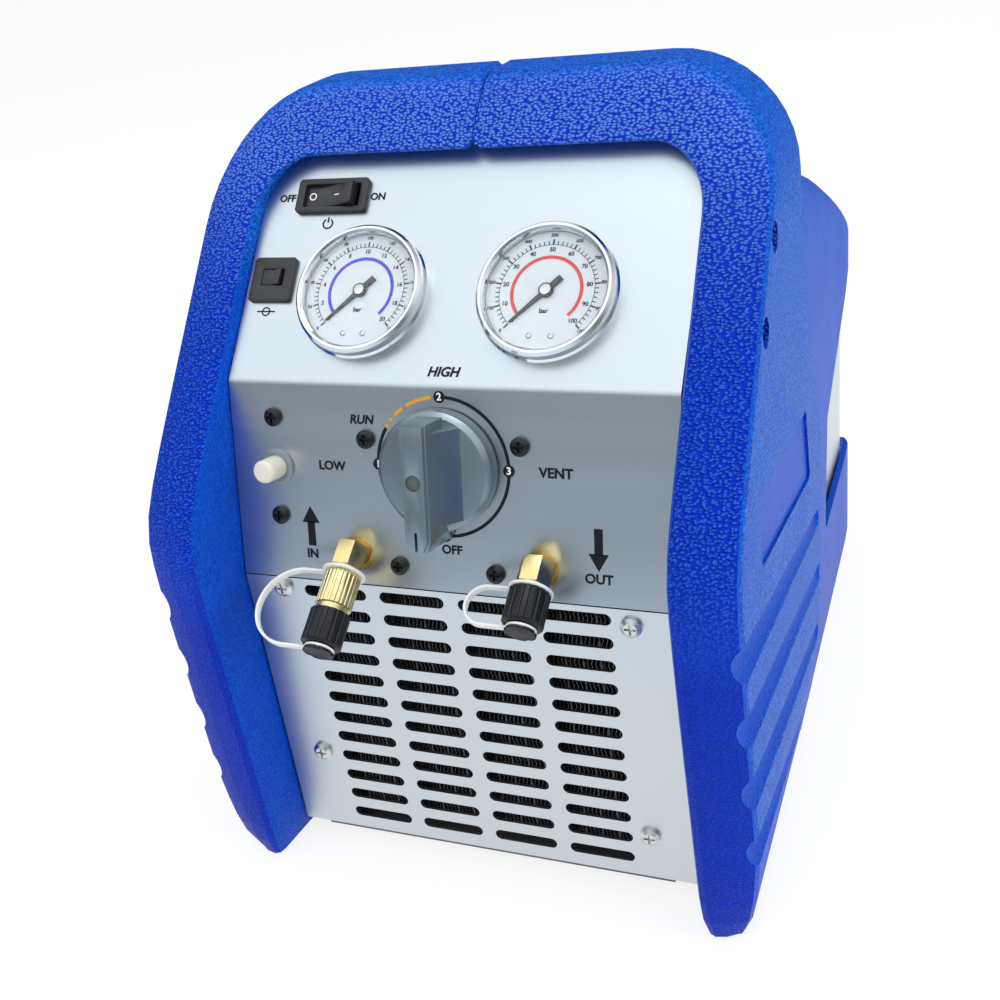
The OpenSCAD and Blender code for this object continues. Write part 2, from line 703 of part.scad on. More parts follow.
// Base pan with a turned-up rear edge and a tongue under the grille, and the feet under the shells
module base_pan() {
    edge = case_x - sheet - fit_gap;
    tongue = open_x - frame_lip;
    y0 = panel_y + case_front;
    y1 = case_y - 2 * sheet - fit_gap;
    color("gray") {
        translate([-case_x, y0, pan_z]) cube([2 * case_x, y1 - y0, sheet]);
        translate([-edge, y1 - sheet, pan_z]) cube([2 * edge, sheet, 14]);
        translate([-tongue, panel_y + sheet + fit_gap, pan_z]) cube([2 * tongue, case_front, sheet]);
    }
}

foot_x = open_x + splay_at(0) + (frame_w - foot_taper) / 2;
foot_back = 4;

module rubber_feet() {
    color("black") for (s = [-1, 1]) {
        translate([s * foot_x, panel_y + foot_back, 0]) cylinder(foot_z, pad_r - 0.5, pad_r);
        translate([s * (case_x - 3 * pad_r), case_y - 4 * pad_r, 0]) cylinder(pan_z, pad_r - 0.5, pad_r);
    }
}

// Condenser: a finned block on hairpin tubes, right behind the grille
coil_y = panel_y + sheet + 6;
coil_w = 2 * (open_x - 18);
coil_foot = 20;
coil_h = round(ledge_z - 7.5 - coil_foot);
fan_z = coil_foot + coil_h / 2;
fan_r = coil_h / 2 - fan_edge;
fin_pitch = 8;
fin_t = 0.6;
tube_r = 3.5;
tube_n = 6;
tube_pitch = round((coil_h - 2) / tube_n);

module tube_rows() {
    for (i = [0:tube_n - 1])
        translate([0, coil_y + coil_d / 2, fan_z + (i - (tube_n - 1) / 2) * tube_pitch]) rotate([0, 90, 0])
            children();
}

module condenser_fins() {
    color("dimgray") difference() {
        union() {
            for (k = [0:coil_w / fin_pitch])
                translate([-coil_w / 2 + k * fin_pitch - fin_t / 2, coil_y, fan_z - coil_h / 2])
                    cube([fin_t, coil_d, coil_h]);
            for (s = [-1, 1]) translate([s * (coil_w / 2 + 1) - 1, coil_y, pan_z + sheet])
                cube([2, coil_d, fan_z + coil_h / 2 - pan_z - sheet]);
        }
        tube_rows() cylinder(coil_w + 20, tube_r + 0.02, tube_r + 0.02, center = true);
    }
}

module condenser_tubes() {
    color("peru") {
        tube_rows() cylinder(coil_w + 8, tube_r, tube_r, center = true);
        for (i = [0:tube_n - 2]) let (s = i % 2 == 0 ? 1 : -1)
            translate([s * (coil_w / 2 + 4), coil_y + coil_d / 2, fan_z + (i + 1 - tube_n / 2) * tube_pitch])
                rotate([90, 0, 0]) rotate([0, 0, s > 0 ? -90 : 90])
                    rotate_extrude(angle = 180) translate([tube_pitch / 2, 0]) circle(tube_r);
    }
}

// Fan behind the condenser, in a shroud that stands on the pan
shroud_y = coil_y + coil_d + fit_gap;
shroud_d = 30;
fan_y = shroud_y + 5;
fan_d = 18;
fan_shaft_r = 3;

module fan_shroud() {
    color("darkslategray") difference() {
        union() {
            translate([-coil_w / 2, shroud_y, pan_z + sheet])
                cube([coil_w, sheet, fan_z + coil_h / 2 - pan_z - sheet]);
            translate([0, shroud_y, fan_z]) rotate([-90, 0, 0]) cylinder(shroud_d, fan_r + 4, fan_r + 4);
            // Foot and the three arms that carry the motor
            translate([-20, shroud_y, pan_z + sheet]) cube([40, shroud_d, fan_z - fan_r - pan_z]);
        }
        translate([0, shroud_y - 1, fan_z]) rotate([-90, 0, 0]) cylinder(shroud_d + 2, fan_r + 2, fan_r + 2);
    }
    color("darkslategray") difference() {
        for (a = [30, 150, 270]) translate([0, shroud_y + shroud_d - 4, fan_z]) rotate([0, -a, 0])
            translate([0, 0, -4]) cube([fan_r + 3, 4, 8]);
        translate([0, shroud_y, fan_z]) rotate([-90, 0, 0]) cylinder(shroud_d + 2, 22, 22);
    }
    color("darkslategray") translate([0, shroud_y + shroud_d - 4, fan_z]) rotate([-90, 0, 0]) difference() {
        cylinder(4, 24, 24);
        translate([0, 0, -1]) cylinder(6, fan_shaft_r + run_gap, fan_shaft_r + run_gap);
    }
}

module fan_motor() {
    y = shroud_y + shroud_d;
    color("gray") translate([0, y, fan_z]) rotate([-90, 0, 0]) difference() {
        union() {
            cylinder(34, 23, 23);
            translate([0, 0, 34]) cylinder(6, 14, 12);
        }
        translate([0, 0, -1]) cylinder(25, fan_shaft_r + shaft_gap, fan_shaft_r + shaft_gap);
    }
}

module fan() {
    color("black") translate([0, fan_y, fan_z]) rotate([-90, 0, 0]) {
        difference() {
            cylinder(fan_d, 15, 15);
            translate([0, 0, fan_d - 8]) cylinder(9, 12, 12);
        }
        cylinder(shroud_d + 14, fan_shaft_r, fan_shaft_r);
        for (i = [0:fan_n - 1]) rotate([0, 0, i * 360 / fan_n])
            translate([13, 0, fan_d / 2]) rotate([27, 0, 0]) intersection() {
                translate([0, -22, -0.9]) cube([fan_r - 14, 44, 1.8]);
                translate([fan_r / 2 - 10, 0, -2]) cylinder(4, fan_r / 2 - 4, fan_r / 2 - 4);
            }
    }
}

// Oil-less twin compressor on rubber mounts in the rear of the case
comp_y = case_y - comp_back;
comp_w = 84;
comp_l = 74;
comp_bot = pan_z + sheet + 16;
deck_z = crank_z + 26;
bore_r = 17;
bore_pitch = 36;
bore_h = 34;
sole_t = 6;

module compressor_body() {
    color("silver") {
        translate([0, comp_y, comp_bot]) round_box([comp_w, comp_l, deck_z - comp_bot], 12);
        for (s = [-1, 1]) translate([0, comp_y + s * bore_pitch / 2, deck_z]) cylinder(bore_h, bore_r, bore_r);
        translate([0, comp_y, comp_bot]) round_box([comp_w + 4 * pad_r, comp_l + pad_r, sole_t], 8);
    }
}

head_w = 44;
head_h = 16;
head_fins = 5;
head_fin_pitch = 8;
head_cut = 3;

module cylinder_heads() {
    color("gray") for (s = [-1, 1]) translate([0, comp_y + s * bore_pitch / 2, deck_z + bore_h]) difference() {
        round_box([head_w, bore_pitch - 2 * fit_gap, head_h], 5);
        for (k = [0:head_fins - 1])
            translate([(k - (head_fins - 1) / 2) * head_fin_pitch - head_cut / 2, -bore_pitch, sole_t])
                cube([head_cut, 2 * bore_pitch, head_h]);
    }
}

motor_l = 64;
motor_end = 10;
flute_n = 12;
flute_r = 3;

module drive_motor() {
    y = comp_y + comp_l / 2;
    color("dimgray") translate([0, y, crank_z]) rotate([-90, 0, 0]) difference() {
        union() {
            cylinder(motor_l, motor_r, motor_r);
            translate([0, 0, motor_l]) cylinder(motor_end, motor_r, motor_r - 8);
        }
        for (k = [0:flute_n - 1]) rotate([0, 0, k * 360 / flute_n])
            translate([motor_r - flute_r / 2, 0, 2 * flute_r]) cylinder(motor_l - 14, flute_r, flute_r);
    }
}

can_r = 19;
can_h = 72;
can_x = 76;
tab_h = 8;

module start_capacitor() {
    color("black") translate([-can_x, comp_y + 62, pan_z + sheet]) {
        cylinder(can_h, can_r, can_r);
        for (s = [-1, 1]) translate([s * tab_h - 3, -0.4, can_h]) cube([6, 0.8, tab_h]);
    }
}

mount_r = 8;

module vibration_mounts() {
    color("black") for (x = [-1, 1], y = [-1, 1])
        translate([x * (comp_w / 2 + mount_r), comp_y + y * (comp_l / 2 - 10), pan_z + sheet])
            cylinder(comp_bot - pan_z - sheet, mount_r, mount_r);
}

// Valve block behind the port face, and the stem and knob that turn in it
block_d = 34;
block_w = 104;
stem_in = 24;

module valve_manifold() {
    color("darkgoldenrod") on_port_face(0, 0) difference() {
        union() {
            translate([-block_w / 2, 4, -sheet - block_d]) cube([block_w, 20, block_d]);
            translate([-39, 4, -sheet - block_d]) cube([78, 72, block_d]);
        }
        translate([0, knob_s, -sheet - stem_in - 1])
            cylinder(stem_in + 2, stem_r + shaft_gap, stem_r + shaft_gap);
        for (s = [-1, 1]) translate([s * port_x, port_s, -sheet - 18]) cylinder(20, flare_r, flare_r);
        for (c = valve_spots) translate([c[0], c[1], -sheet - screw_l - 2])
            cylinder(screw_l + 4, screw_r, screw_r);
    }
}

knob_lift = 1.2;
bolt_r = 3.3;

module valve_stem() {
    color("gray") on_port_face(0, knob_s) translate([0, 0, -sheet - stem_in])
        cylinder(stem_in + sheet + knob_lift + knob_h - 9, stem_r, stem_r);
}

// Turned disc with a raised grip whose pointed end marks the position
module selector_knob() {
    color("lightgray") on_port_face(0, knob_s) translate([0, 0, knob_lift]) difference() {
        union() {
            cylinder(knob_disc_h - 2, knob_r, knob_r);
            translate([0, 0, knob_disc_h - 2]) cylinder(2, knob_r, knob_r - 2);
            linear_extrude(knob_h - 2) grip_outline(0);
            translate([0, 0, knob_h - 2]) linear_extrude(2) grip_outline(0.8);
            // Sloped flank on the grip's right side
            rotate([90, 0, 0]) translate([0, 0, -knob_r + 6]) linear_extrude(2 * knob_r - 12)
                polygon([[0, knob_disc_h - 1], [grip_w / 2 + 8, knob_disc_h - 1],
                    [grip_w / 2 - 0.5, knob_h - 2], [0, knob_h - 2]]);
        }
        translate([0, 0, -1]) cylinder(knob_h - 8, stem_r, stem_r);
        translate([0, 0, knob_h - 3]) cylinder(4, bolt_r, bolt_r);
        translate([-0.6, -knob_r - 4, knob_disc_h]) cube([1.2, 9, knob_h]);
    }
}

module grip_outline(inset) {
    w = grip_w / 2 - inset;
    tip = -knob_r - 4 + inset;
    polygon([[-w, knob_r - 2 - inset], [w, knob_r - 2 - inset], [w, -knob_r + 1], [w - 2, tip],
        [2 - w, tip], [-w, -knob_r + 1]]);
}

module knob_screw() {
    color("dimgray") on_port_face(0, knob_s) translate([0, 0, knob_lift + knob_h - 3])
        cylinder(2, bolt_r, bolt_r);
}

// Gauges: case, stepped bezel, dial, pointer on its spindle, and lens
dial_h = 2.6;
spindle_r = 1.2;
lens_h = 1.6;
face_r = gauge_r - bezel_w;

module at_gauge(s) {
    on_gauge_face(s * gauge_x, gauge_s) children();
}

module gauge_case(s) {
    color("gray") at_gauge(s) difference() {
        union() {
            translate([0, 0, -gauge_deep]) cylinder(gauge_deep + dial_h, face_r - 0.6, face_r - 0.6);
            translate([0, 0, -gauge_deep - 16]) cylinder(16, 6, 6);
        }
        translate([0, 0, dial_h - 8]) cylinder(9, spindle_r + shaft_gap, spindle_r + shaft_gap);
    }
}

module gauge_bezel(s) {
    hole = face_r - 0.5;
    lens_z = gauge_proud - 0.8;
    color("silver") at_gauge(s) rotate_extrude($fn = 96) polygon([[hole, 0], [gauge_r, 0], [gauge_r, 2.4],
        [gauge_r - 0.8, 3.4], [gauge_r - 0.8, gauge_proud - 1.2], [gauge_r - 2, gauge_proud],
        [face_r + 0.4, gauge_proud], [hole, lens_z], [hole, lens_z - lens_h], [hole, dial_h + 0.8]]);
}

module gauge_dial(s) {
    color("white") at_gauge(s) translate([0, 0, dial_h]) difference() {
        cylinder(0.8, face_r - 0.6, face_r - 0.6);
        translate([0, 0, -1]) cylinder(3, spindle_r + run_gap, spindle_r + run_gap);
    }
}

// The pointer rests on zero, at the lower left of the dial
module gauge_pointer(s) {
    color("black") at_gauge(s) translate([0, 0, dial_h]) {
        translate([0, 0, -5]) cylinder(6.6, spindle_r, spindle_r);
        translate([0, 0, 1.2]) rotate([0, 0, 90 + gauge_sweep / 2]) {
            cylinder(1.2, 3, 3);
            linear_extrude(0.7) polygon([[-8, -1.3], [-8, 1.3], [0, 1.1], [face_r - 7, 0.3],
                [face_r - 7, -0.3], [0, -1.1]]);
        }
    }
}

module gauge_lens(s) {
    color([0.9, 0.95, 1, 0.3]) at_gauge(s) translate([0, 0, gauge_proud - lens_h - 0.8])
        cylinder(lens_h, face_r - 0.6, face_r - 0.6);
}

module low_gauge_case() { gauge_case(-1); }
module low_gauge_bezel() { gauge_bezel(-1); }
module low_gauge_dial() { gauge_dial(-1); }
module low_gauge_pointer() { gauge_pointer(-1); }
module low_gauge_lens() { gauge_lens(-1); }
module high_gauge_case() { gauge_case(1); }
module high_gauge_bezel() { gauge_bezel(1); }
module high_gauge_dial() { gauge_dial(1); }
module high_gauge_pointer() { gauge_pointer(1); }
module high_gauge_lens() { gauge_lens(1); }

// Power switch: a bezel with a rocker that tilts on a cross pin
rim_h = 2.2;
pivot_h = -2;
pin_r = 1.5;
rocker_l = switch_l - 8;
rocker_w = switch_h - 6;

module switch_body() {
    color("black") on_gauge_face(switch_x, switch_s) difference() {
        union() {
            round_box([switch_l, switch_h, rim_h], 2);
            translate([0, 0, -22])
                round_box([switch_l - 4 - 2 * fit_gap, switch_h - 2 - 2 * fit_gap, 22.5], 1);
        }
        translate([0, 0, -9]) round_box([rocker_l + 2 * run_gap, rocker_w + 2 * run_gap, 14], 0.8);
        translate([0, 0, pivot_h]) rotate([90, 0, 0])
            cylinder(rocker_w + 2.4, pin_r + shaft_gap, pin_r + shaft_gap, center = true);
    }
}

module power_rocker() {
    l = rocker_l / 2;
    color("black") on_gauge_face(switch_x, switch_s) translate([0, 0, pivot_h]) rotate([0, -rocker_tilt, 0]) {
        rotate([90, 0, 0]) linear_extrude(rocker_w, center = true)
            polygon([[-l + 1.2, -0.5], [-l + 0.8, 5.2], [-l * 0.5, 4], [0, 3.6], [l * 0.5, 4], [l - 0.8, 5.2],
                [l - 1.2, -0.5], [3, -4], [-3, -4]]);
        rotate([90, 0, 0]) cylinder(rocker_w + 2, pin_r, pin_r, center = true);
    }
}

// Thermal breaker: square bezel with a small rocker
breaker_rim = 1.8;
tab_l = 10;
tab_w = 7;

module breaker_body() {
    color("black") on_gauge_face(breaker_x, breaker_s) difference() {
        union() {
            round_box([breaker_w, breaker_w, breaker_rim], 1.5);
            translate([0, 0, -24])
                round_box([breaker_w - 4 - 2 * fit_gap, breaker_w - 4 - 2 * fit_gap, 24.5], 1);
        }
        translate([0, 1, -7]) round_box([tab_l + 2 * run_gap, tab_w + 2 * run_gap, 12], 0.6);
        translate([0, 1, -1.5]) rotate([90, 0, 0])
            cylinder(tab_w + 3, 1 + shaft_gap, 1 + shaft_gap, center = true);
    }
}

module breaker_rocker() {
    l = tab_l / 2;
    color("black") on_gauge_face(breaker_x, breaker_s) translate([0, 1, -1.5]) rotate([0, -8, 0]) {
        rotate([90, 0, 0]) linear_extrude(tab_w, center = true)
            polygon([[-l + 0.6, -0.5], [-l + 0.4, 3.8], [0, 3], [l - 0.4, 3.8], [l - 0.6, -0.5], [0, -2.6]]);
        rotate([90, 0, 0]) cylinder(tab_w + 2.4, 1, 1, center = true);
    }
}

// High-pressure cut-out with its push button
button_in = 6;

module pressure_switch() {
    color("dimgray") on_port_face(reset_x, reset_s) difference() {
        union() {
            translate([-9, -reset_pitch / 2 - 6, -sheet - 5]) cube([18, reset_pitch + 12, 5]);
            translate([0, 0, -sheet - 30]) cylinder(30, 12, 12);
            translate([0, 0, -sheet]) cylinder(sheet + 1.2, collar_r, collar_r);
            cylinder(1.2, collar_r + 1, collar_r + 1);
        }
        translate([0, 0, -sheet - button_in - reset_travel - 2])
            cylinder(big, reset_r + shaft_gap, reset_r + shaft_gap);
        for (s = [-1, 1]) translate([0, s * reset_pitch / 2, -sheet - 8]) cylinder(12, screw_r, screw_r);
    }
}

module reset_button() {
    color("ivory") on_port_face(reset_x, reset_s) {
        translate([0, 0, -sheet - button_in]) cylinder(sheet + button_in + reset_h - 1, reset_r, reset_r);
        translate([0, 0, reset_h - 1]) cylinder(1, reset_r, reset_r - 1);
    }
}

// Ports: brass elbows of hexagon bar; the inlet also carries a knurled filter before its cap
hex_r = 7.4;
hex_back = 6;
hex_l = 11;
neck_r = 6.2;

module elbow(s) {
    color("goldenrod") {
        on_port_face(s * port_x, port_s) translate([0, 0, -sheet - 17])
            cylinder(sheet + 17 + neck_h, flare_r - 0.02, flare_r - 0.02);
        on_port(s * port_x) {
            translate([0, 0, -hex_back]) cylinder(hex_l, hex_r, hex_r, $fn = 6);
            cylinder(cap_at - fit_gap, neck_r, neck_r);
            cylinder(flare_l - 2, flare_r, flare_r);
            translate([0, 0, flare_l - 2]) cylinder(2, flare_r, 3.2);
        }
    }
}

module inlet_elbow() { elbow(-1); }
module outlet_elbow() { elbow(1); }

// Lengthwise ribs round a cap or filter
module fluted(r, l, n, deep) {
    difference() {
        cylinder(l, r, r);
        for (i = [0:n - 1]) rotate([0, 0, i * 360 / n]) translate([r + 0.5 * deep, 0, -1])
            cylinder(l + 2, deep, deep);
    }
}

module inlet_filter() {
    color("gold") on_port(-port_x) translate([0, 0, cap_at]) difference() {
        union() {
            fluted(filter_r, filter_l - 3, 24, 0.6);
            translate([0, 0, filter_l - 3]) cylinder(3 - fit_gap, filter_r - 1.4, filter_r - 1.4);
            translate([0, 0, filter_l - 3]) cylinder(3 + flare_l - cap_at, flare_r, flare_r);
        }
        translate([0, 0, -1]) cylinder(flare_l - cap_at + 2, flare_r + shaft_gap, flare_r + shaft_gap);
        translate([0, 0, filter_l - 8]) cylinder(40, 3, 3);
    }
}

module filter_screen() {
    color("gray") on_port(-port_x) translate([0, 0, cap_at + filter_l - 3]) difference() {
        cylinder(9, 2.9, 2.9);
        translate([0, 0, 0.5]) cylinder(10, 2.4, 2.4);
    }
}

module port_cap() {
    color("black") difference() {
        union() {
            fluted(cap_r, cap_l - 4, 16, 0.8);
            translate([0, 0, cap_l - 4]) cylinder(1, cap_r, cap_r - 1);
            translate([0, 0, cap_l - 3]) cylinder(strap_t + 2 * run_gap, button_r, button_r);
            translate([0, 0, cap_l - lobe_h]) fluted(lobe_r, lobe_h, 5, 1.6);
        }
        translate([0, 0, -1]) cylinder(flare_l - cap_at + 2.2, flare_r + run_gap, flare_r + run_gap);
    }
}

module inlet_cap() { on_port(-port_x) translate([0, 0, cap_at + filter_l]) port_cap(); }
module outlet_cap() { on_port(port_x) translate([0, 0, cap_at]) port_cap(); }

// Tether: a ring behind the cap, a bowed strap, and a ring that the cap's button turns in
strap_t = 1.1;
strap_w = 3.6;
lobe_h = 3 - strap_t - 2 * run_gap;

module tether(base, out) {
    gap_in = 0.5;
    end = cap_at + base + cap_l - 3 + run_gap;
    start = cap_at - fit_gap - strap_t;
    mid = (start + end) / 2;
    bow = (end - start) / 2;
    color("white") rotate([0, 0, out]) {
        translate([0, 0, start]) difference() {
            cylinder(strap_t, neck_r + 3.2, neck_r + 3.2);
            translate([0, 0, -1]) cylinder(4, neck_r + gap_in, neck_r + gap_in);
        }
        translate([0, 0, end]) difference() {
            cylinder(strap_t, button_r + 2.4, button_r + 2.4);
            translate([0, 0, -1]) cylinder(4, button_r + gap_in, button_r + gap_in);
        }
        // Straight legs to the bow
        translate([neck_r + 2.2, -strap_w / 2, start]) cube([9, strap_w, strap_t]);
        translate([button_r + 1.6, -strap_w / 2, end]) cube([neck_r + 9.6 - button_r, strap_w, strap_t]);
        translate([neck_r + 11.2, 0, mid + strap_t / 2]) rotate([90, 0, 0]) rotate([0, 0, -90])
            rotate_extrude(angle = 180) translate([bow - strap_t / 2, -strap_w / 2])
                square([strap_t, strap_w]);
    }
}

module inlet_tether() { on_port(-port_x) tether(filter_l, 180); }
module outlet_tether() { on_port(port_x) tether(0, 180); }

// Copper pipes between the valve block, the compressor and the condenser
pipe_r = 3;

function bend_points(route, n) = [for (i = [0:len(route) - 3], k = [0:n - 1]) let (t = k / n,
        a = (route[i] + route[i + 1]) / 2, b = route[i + 1], c = (route[i + 1] + route[i + 2]) / 2)
    (1 - t) * (1 - t) * a + 2 * t * (1 - t) * b + t * t * c];

module pipe(route) {
    path = concat([route[0]], bend_points(route, 5), [route[len(route) - 1]]);
    last = len(path) - 1;
    loft([for (i = [0:last])
        let (d = path[min(i + 1, last)] - path[max(i - 1, 0)], f = d / norm(d),
            side = abs(f[2]) > 0.9 ? [1, 0, 0] : [0, 0, 1],
            u = cross(side, f) / norm(cross(side, f)), v = cross(f, u))
        [for (a = [320:-40:0]) path[i] + pipe_r * (cos(a) * u + sin(a) * v)]]);
}

// A point behind the valve block's back face, at a place on the port face
function behind_block(x, s, d) = concat([x], port_point(s, sheet + block_d + d));

module head_pipe(side) {
    top = crank_z + 68;
    bank = comp_y - 18;
    color("peru") pipe([behind_block(side * 30, 34, 0), behind_block(side * 30, 34, 24),
        [side * 30, comp_y - 60, top + 12], [side * 48, comp_y - 56, top], [side * 48, bank, top],
        [side * 22, bank, top]]);
}

module suction_pipe() { head_pipe(-1); }
module discharge_pipe() { head_pipe(1); }

left_shell();
right_shell();
front_panel();
grille_plate();
top_hood();
case_cover();
rear_panel();
base_pan();
rubber_feet();
condenser_fins();
condenser_tubes();
fan_shroud();
fan_motor();
fan();
compressor_body();
cylinder_heads();
drive_motor();
start_capacitor();
vibration_mounts();
valve_manifold();
valve_stem();
selector_knob();
knob_screw();
low_gauge_case();
low_gauge_bezel();
low_gauge_dial();
low_gauge_pointer();
low_gauge_lens();
high_gauge_case();
high_gauge_bezel();
high_gauge_dial();
high_gauge_pointer();
high_gauge_lens();
switch_body();
power_rocker();
breaker_body();
breaker_rocker();
pressure_switch();
reset_button();
inlet_elbow();
inlet_filter();
filter_screen();
inlet_cap();
inlet_tether();
outlet_elbow();
outlet_cap();
outlet_tether();
panel_screws();
grille_screws();
shell_screws();
rear_screws();
power_inlet();
suction_pipe();
discharge_pipe();
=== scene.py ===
import math

import bpy
from mathutils import Matrix, Vector


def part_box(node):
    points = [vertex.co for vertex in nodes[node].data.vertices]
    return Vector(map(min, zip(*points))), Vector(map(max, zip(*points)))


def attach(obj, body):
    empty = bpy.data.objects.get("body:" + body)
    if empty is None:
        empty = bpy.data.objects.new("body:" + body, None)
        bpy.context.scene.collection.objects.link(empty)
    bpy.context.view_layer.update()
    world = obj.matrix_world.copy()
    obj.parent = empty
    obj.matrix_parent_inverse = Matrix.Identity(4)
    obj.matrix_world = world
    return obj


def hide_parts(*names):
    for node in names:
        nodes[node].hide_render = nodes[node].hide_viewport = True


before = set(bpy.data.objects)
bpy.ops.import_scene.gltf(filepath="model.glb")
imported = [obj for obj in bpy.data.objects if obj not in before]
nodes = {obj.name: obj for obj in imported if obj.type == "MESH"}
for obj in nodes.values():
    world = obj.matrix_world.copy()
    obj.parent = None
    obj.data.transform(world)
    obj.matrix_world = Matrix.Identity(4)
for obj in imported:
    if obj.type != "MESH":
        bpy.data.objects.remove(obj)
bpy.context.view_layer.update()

# Studio. The machine stands on a plain pale floor under large soft lamps, and the camera
# looks down on it from in front and from its right, as a hand-held picture does.
panel_y = -0.15323
yaw, pitch, roll = 0.42605, 0.48042, -0.14100
eye = Vector((0.21197, panel_y - 0.40198, 0.43193))
ahead = Vector((-math.sin(yaw) * math.cos(pitch), math.cos(yaw) * math.cos(pitch), -math.sin(pitch)))
level = Vector((math.cos(yaw), math.sin(yaw), 0.0))
above = level.cross(ahead)
cam_x = math.cos(roll) * level + math.sin(roll) * above
cam_y = math.cos(roll) * above - math.sin(roll) * level
bpy.ops.object.select_all(action="DESELECT")
bpy.ops.object.camera_add()
camera = bpy.context.object
camera.data.sensor_width = 36.0
camera.data.lens = 45.341
camera.data.clip_start = 0.02
camera.matrix_world = Matrix.Translation(eye) @ Matrix((cam_x, cam_y, -ahead)).transposed().to_4x4()
bpy.context.scene.camera = camera
bpy.context.scene.view_settings.view_transform = "Standard"


def wire(tree, value, socket):
    """Links an output to a socket, or sets the socket to a plain value."""
    if isinstance(value, bpy.types.NodeSocket):
        tree.links.new(value, socket)
    elif socket.type == "RGBA":
        socket.default_value = (*value, 1.0)
    else:
        socket.default_value = value


def reckon(tree, operation, *values):
    """Works out a product, a difference or the like."""
    made = tree.nodes.new("ShaderNodeMath")
    made.operation = operation
    for socket, value in zip(made.inputs, values):
        wire(tree, value, socket)
    return made.outputs[0]


def ramp(tree, value, start, end, low=0.0, high=1.0, smooth=False):
    """Goes from low to high while a value goes from start to end."""
    made = tree.nodes.new("ShaderNodeMapRange")
    if smooth:
        made.interpolation_type = "SMOOTHSTEP"
    tree.links.new(value, made.inputs["Value"])
    for name, limit in (("From Min", start), ("From Max", end), ("To Min", low), ("To Max", high)):
        made.inputs[name].default_value = limit
    return made.outputs[0]


def blend(tree, factor, first, second, kind="FLOAT"):
    """Mixes two values, or two colours when the kind is RGBA."""
    made = tree.nodes.new("ShaderNodeMix")
    made.data_type = kind
    for name, value in (("Factor", factor), ("A", first), ("B", second)):
        wire(tree, value, made.inputs[name])
    return made.outputs["Result"]


def mix_shaders(tree, share, first, second):
    """Shows the second shader by its share, and else the first."""
    made = tree.nodes.new("ShaderNodeMixShader")
    for socket, value in zip(made.inputs, (share, first, second)):
        tree.links.new(value, socket)
    return made.outputs[0]


def parts_of(tree, vector):
    """The X, Y and Z of a vector."""
    made = tree.nodes.new("ShaderNodeSeparateXYZ")
    tree.links.new(vector, made.inputs[0])
    return made.outputs


bpy.ops.mesh.primitive_plane_add(size=30.0, location=(0.0, 0.0, 0.0))
floor = bpy.context.object
floor.name = "studio_floor"
floor_paint = bpy.data.materials.new("floor_paint")
floor_paint.use_nodes = True
tree = floor_paint.node_tree
paint = tree.nodes["Principled BSDF"]
paint.inputs["Base Color"].default_value = (0.9, 0.9, 0.9, 1.0)
paint.inputs["Roughness"].default_value = 0.75
rays = tree.nodes.new("ShaderNodeLightPath").outputs
seen = reckon(tree, "MAXIMUM", rays["Is Camera Ray"], rays["Is Glossy Ray"])
share = reckon(tree, "MULTIPLY", seen, 0.75)
away = tree.nodes.new("ShaderNodeVectorMath")
away.operation = "LENGTH"
tree.links.new(tree.nodes.new("ShaderNodeTexCoord").outputs["Object"], away.inputs[0])
reach = away.outputs["Value"]
# The floor's reflection fades far off, and takes on the cool light of the room
glow = ramp(tree, reach, 0.5, 1.8, 1.2, 0.3)
cool = reckon(tree, "MULTIPLY", ramp(tree, reach, 0.3, 0.95), rays["Is Glossy Ray"])
white = tree.nodes.new("ShaderNodeEmission")
tree.links.new(blend(tree, cool, (1.0, 1.0, 1.0), (0.74, 1.0, 1.24), "RGBA"), white.inputs["Color"])
tree.links.new(blend(tree, rays["Is Camera Ray"], glow, 1.1), white.inputs["Strength"])
tree.links.new(mix_shaders(tree, share, paint.outputs[0], white.outputs[0]),
               tree.nodes["Material Output"].inputs["Surface"])
floor.data.materials.append(floor_paint)

machine_middle = Vector((0.0, 0.0, 0.17))
for name, spot, size, power in (
        ("key_lamp", (-0.9, -1.7, 1.7), 2.0, 18.0),
        ("top_lamp", (0.25, 0.3, 2.4), 1.3, 16.0),
        ("side_lamp", (2.1, -0.7, 1.1), 1.4, 24.0)):
    bpy.ops.object.light_add(type="AREA", location=spot)
    lamp = bpy.context.object
    lamp.name = name
    lamp.data.size = size
    lamp.data.energy = power
    lamp.visible_glossy = name == "top_lamp"
    aim = machine_middle - Vector(spot)
    lamp.rotation_euler = aim.to_track_quat("-Z", "Y").to_euler()

world = bpy.data.worlds.new("studio_air")
bpy.context.scene.world = world
world.use_nodes = True
tree = world.node_tree
tree.nodes.clear()
rays = tree.nodes.new("ShaderNodeLightPath").outputs
seen = reckon(tree, "MAXIMUM", rays["Is Camera Ray"], rays["Is Glossy Ray"])
clear = reckon(tree, "MAXIMUM", seen, rays["Is Transmission Ray"])
bearing = parts_of(tree, tree.nodes.new("ShaderNodeTexCoord").outputs["Generated"])
rise = ramp(tree, bearing["Z"], 0.12, 0.75, 0.26, 1.6)
room = ramp(tree, bearing["Y"], -0.1, 0.5, 1.0, 0.35)
backdrop = blend(tree, rays["Is Camera Ray"], reckon(tree, "MULTIPLY", rise, room), 1.0)
shown = tree.nodes.new("ShaderNodeBackground")
shown.inputs["Color"].default_value = (0.92, 0.97, 1.0, 1.0)
tree.links.new(backdrop, shown.inputs["Strength"])
fill = tree.nodes.new("ShaderNodeBackground")
fill.inputs["Color"].default_value = (0.95, 0.98, 1.0, 1.0)
fill.inputs["Strength"].default_value = 0.6
out = tree.nodes.new("ShaderNodeOutputWorld")
tree.links.new(mix_shaders(tree, clear, fill.outputs[0], shown.outputs[0]), out.inputs["Surface"])

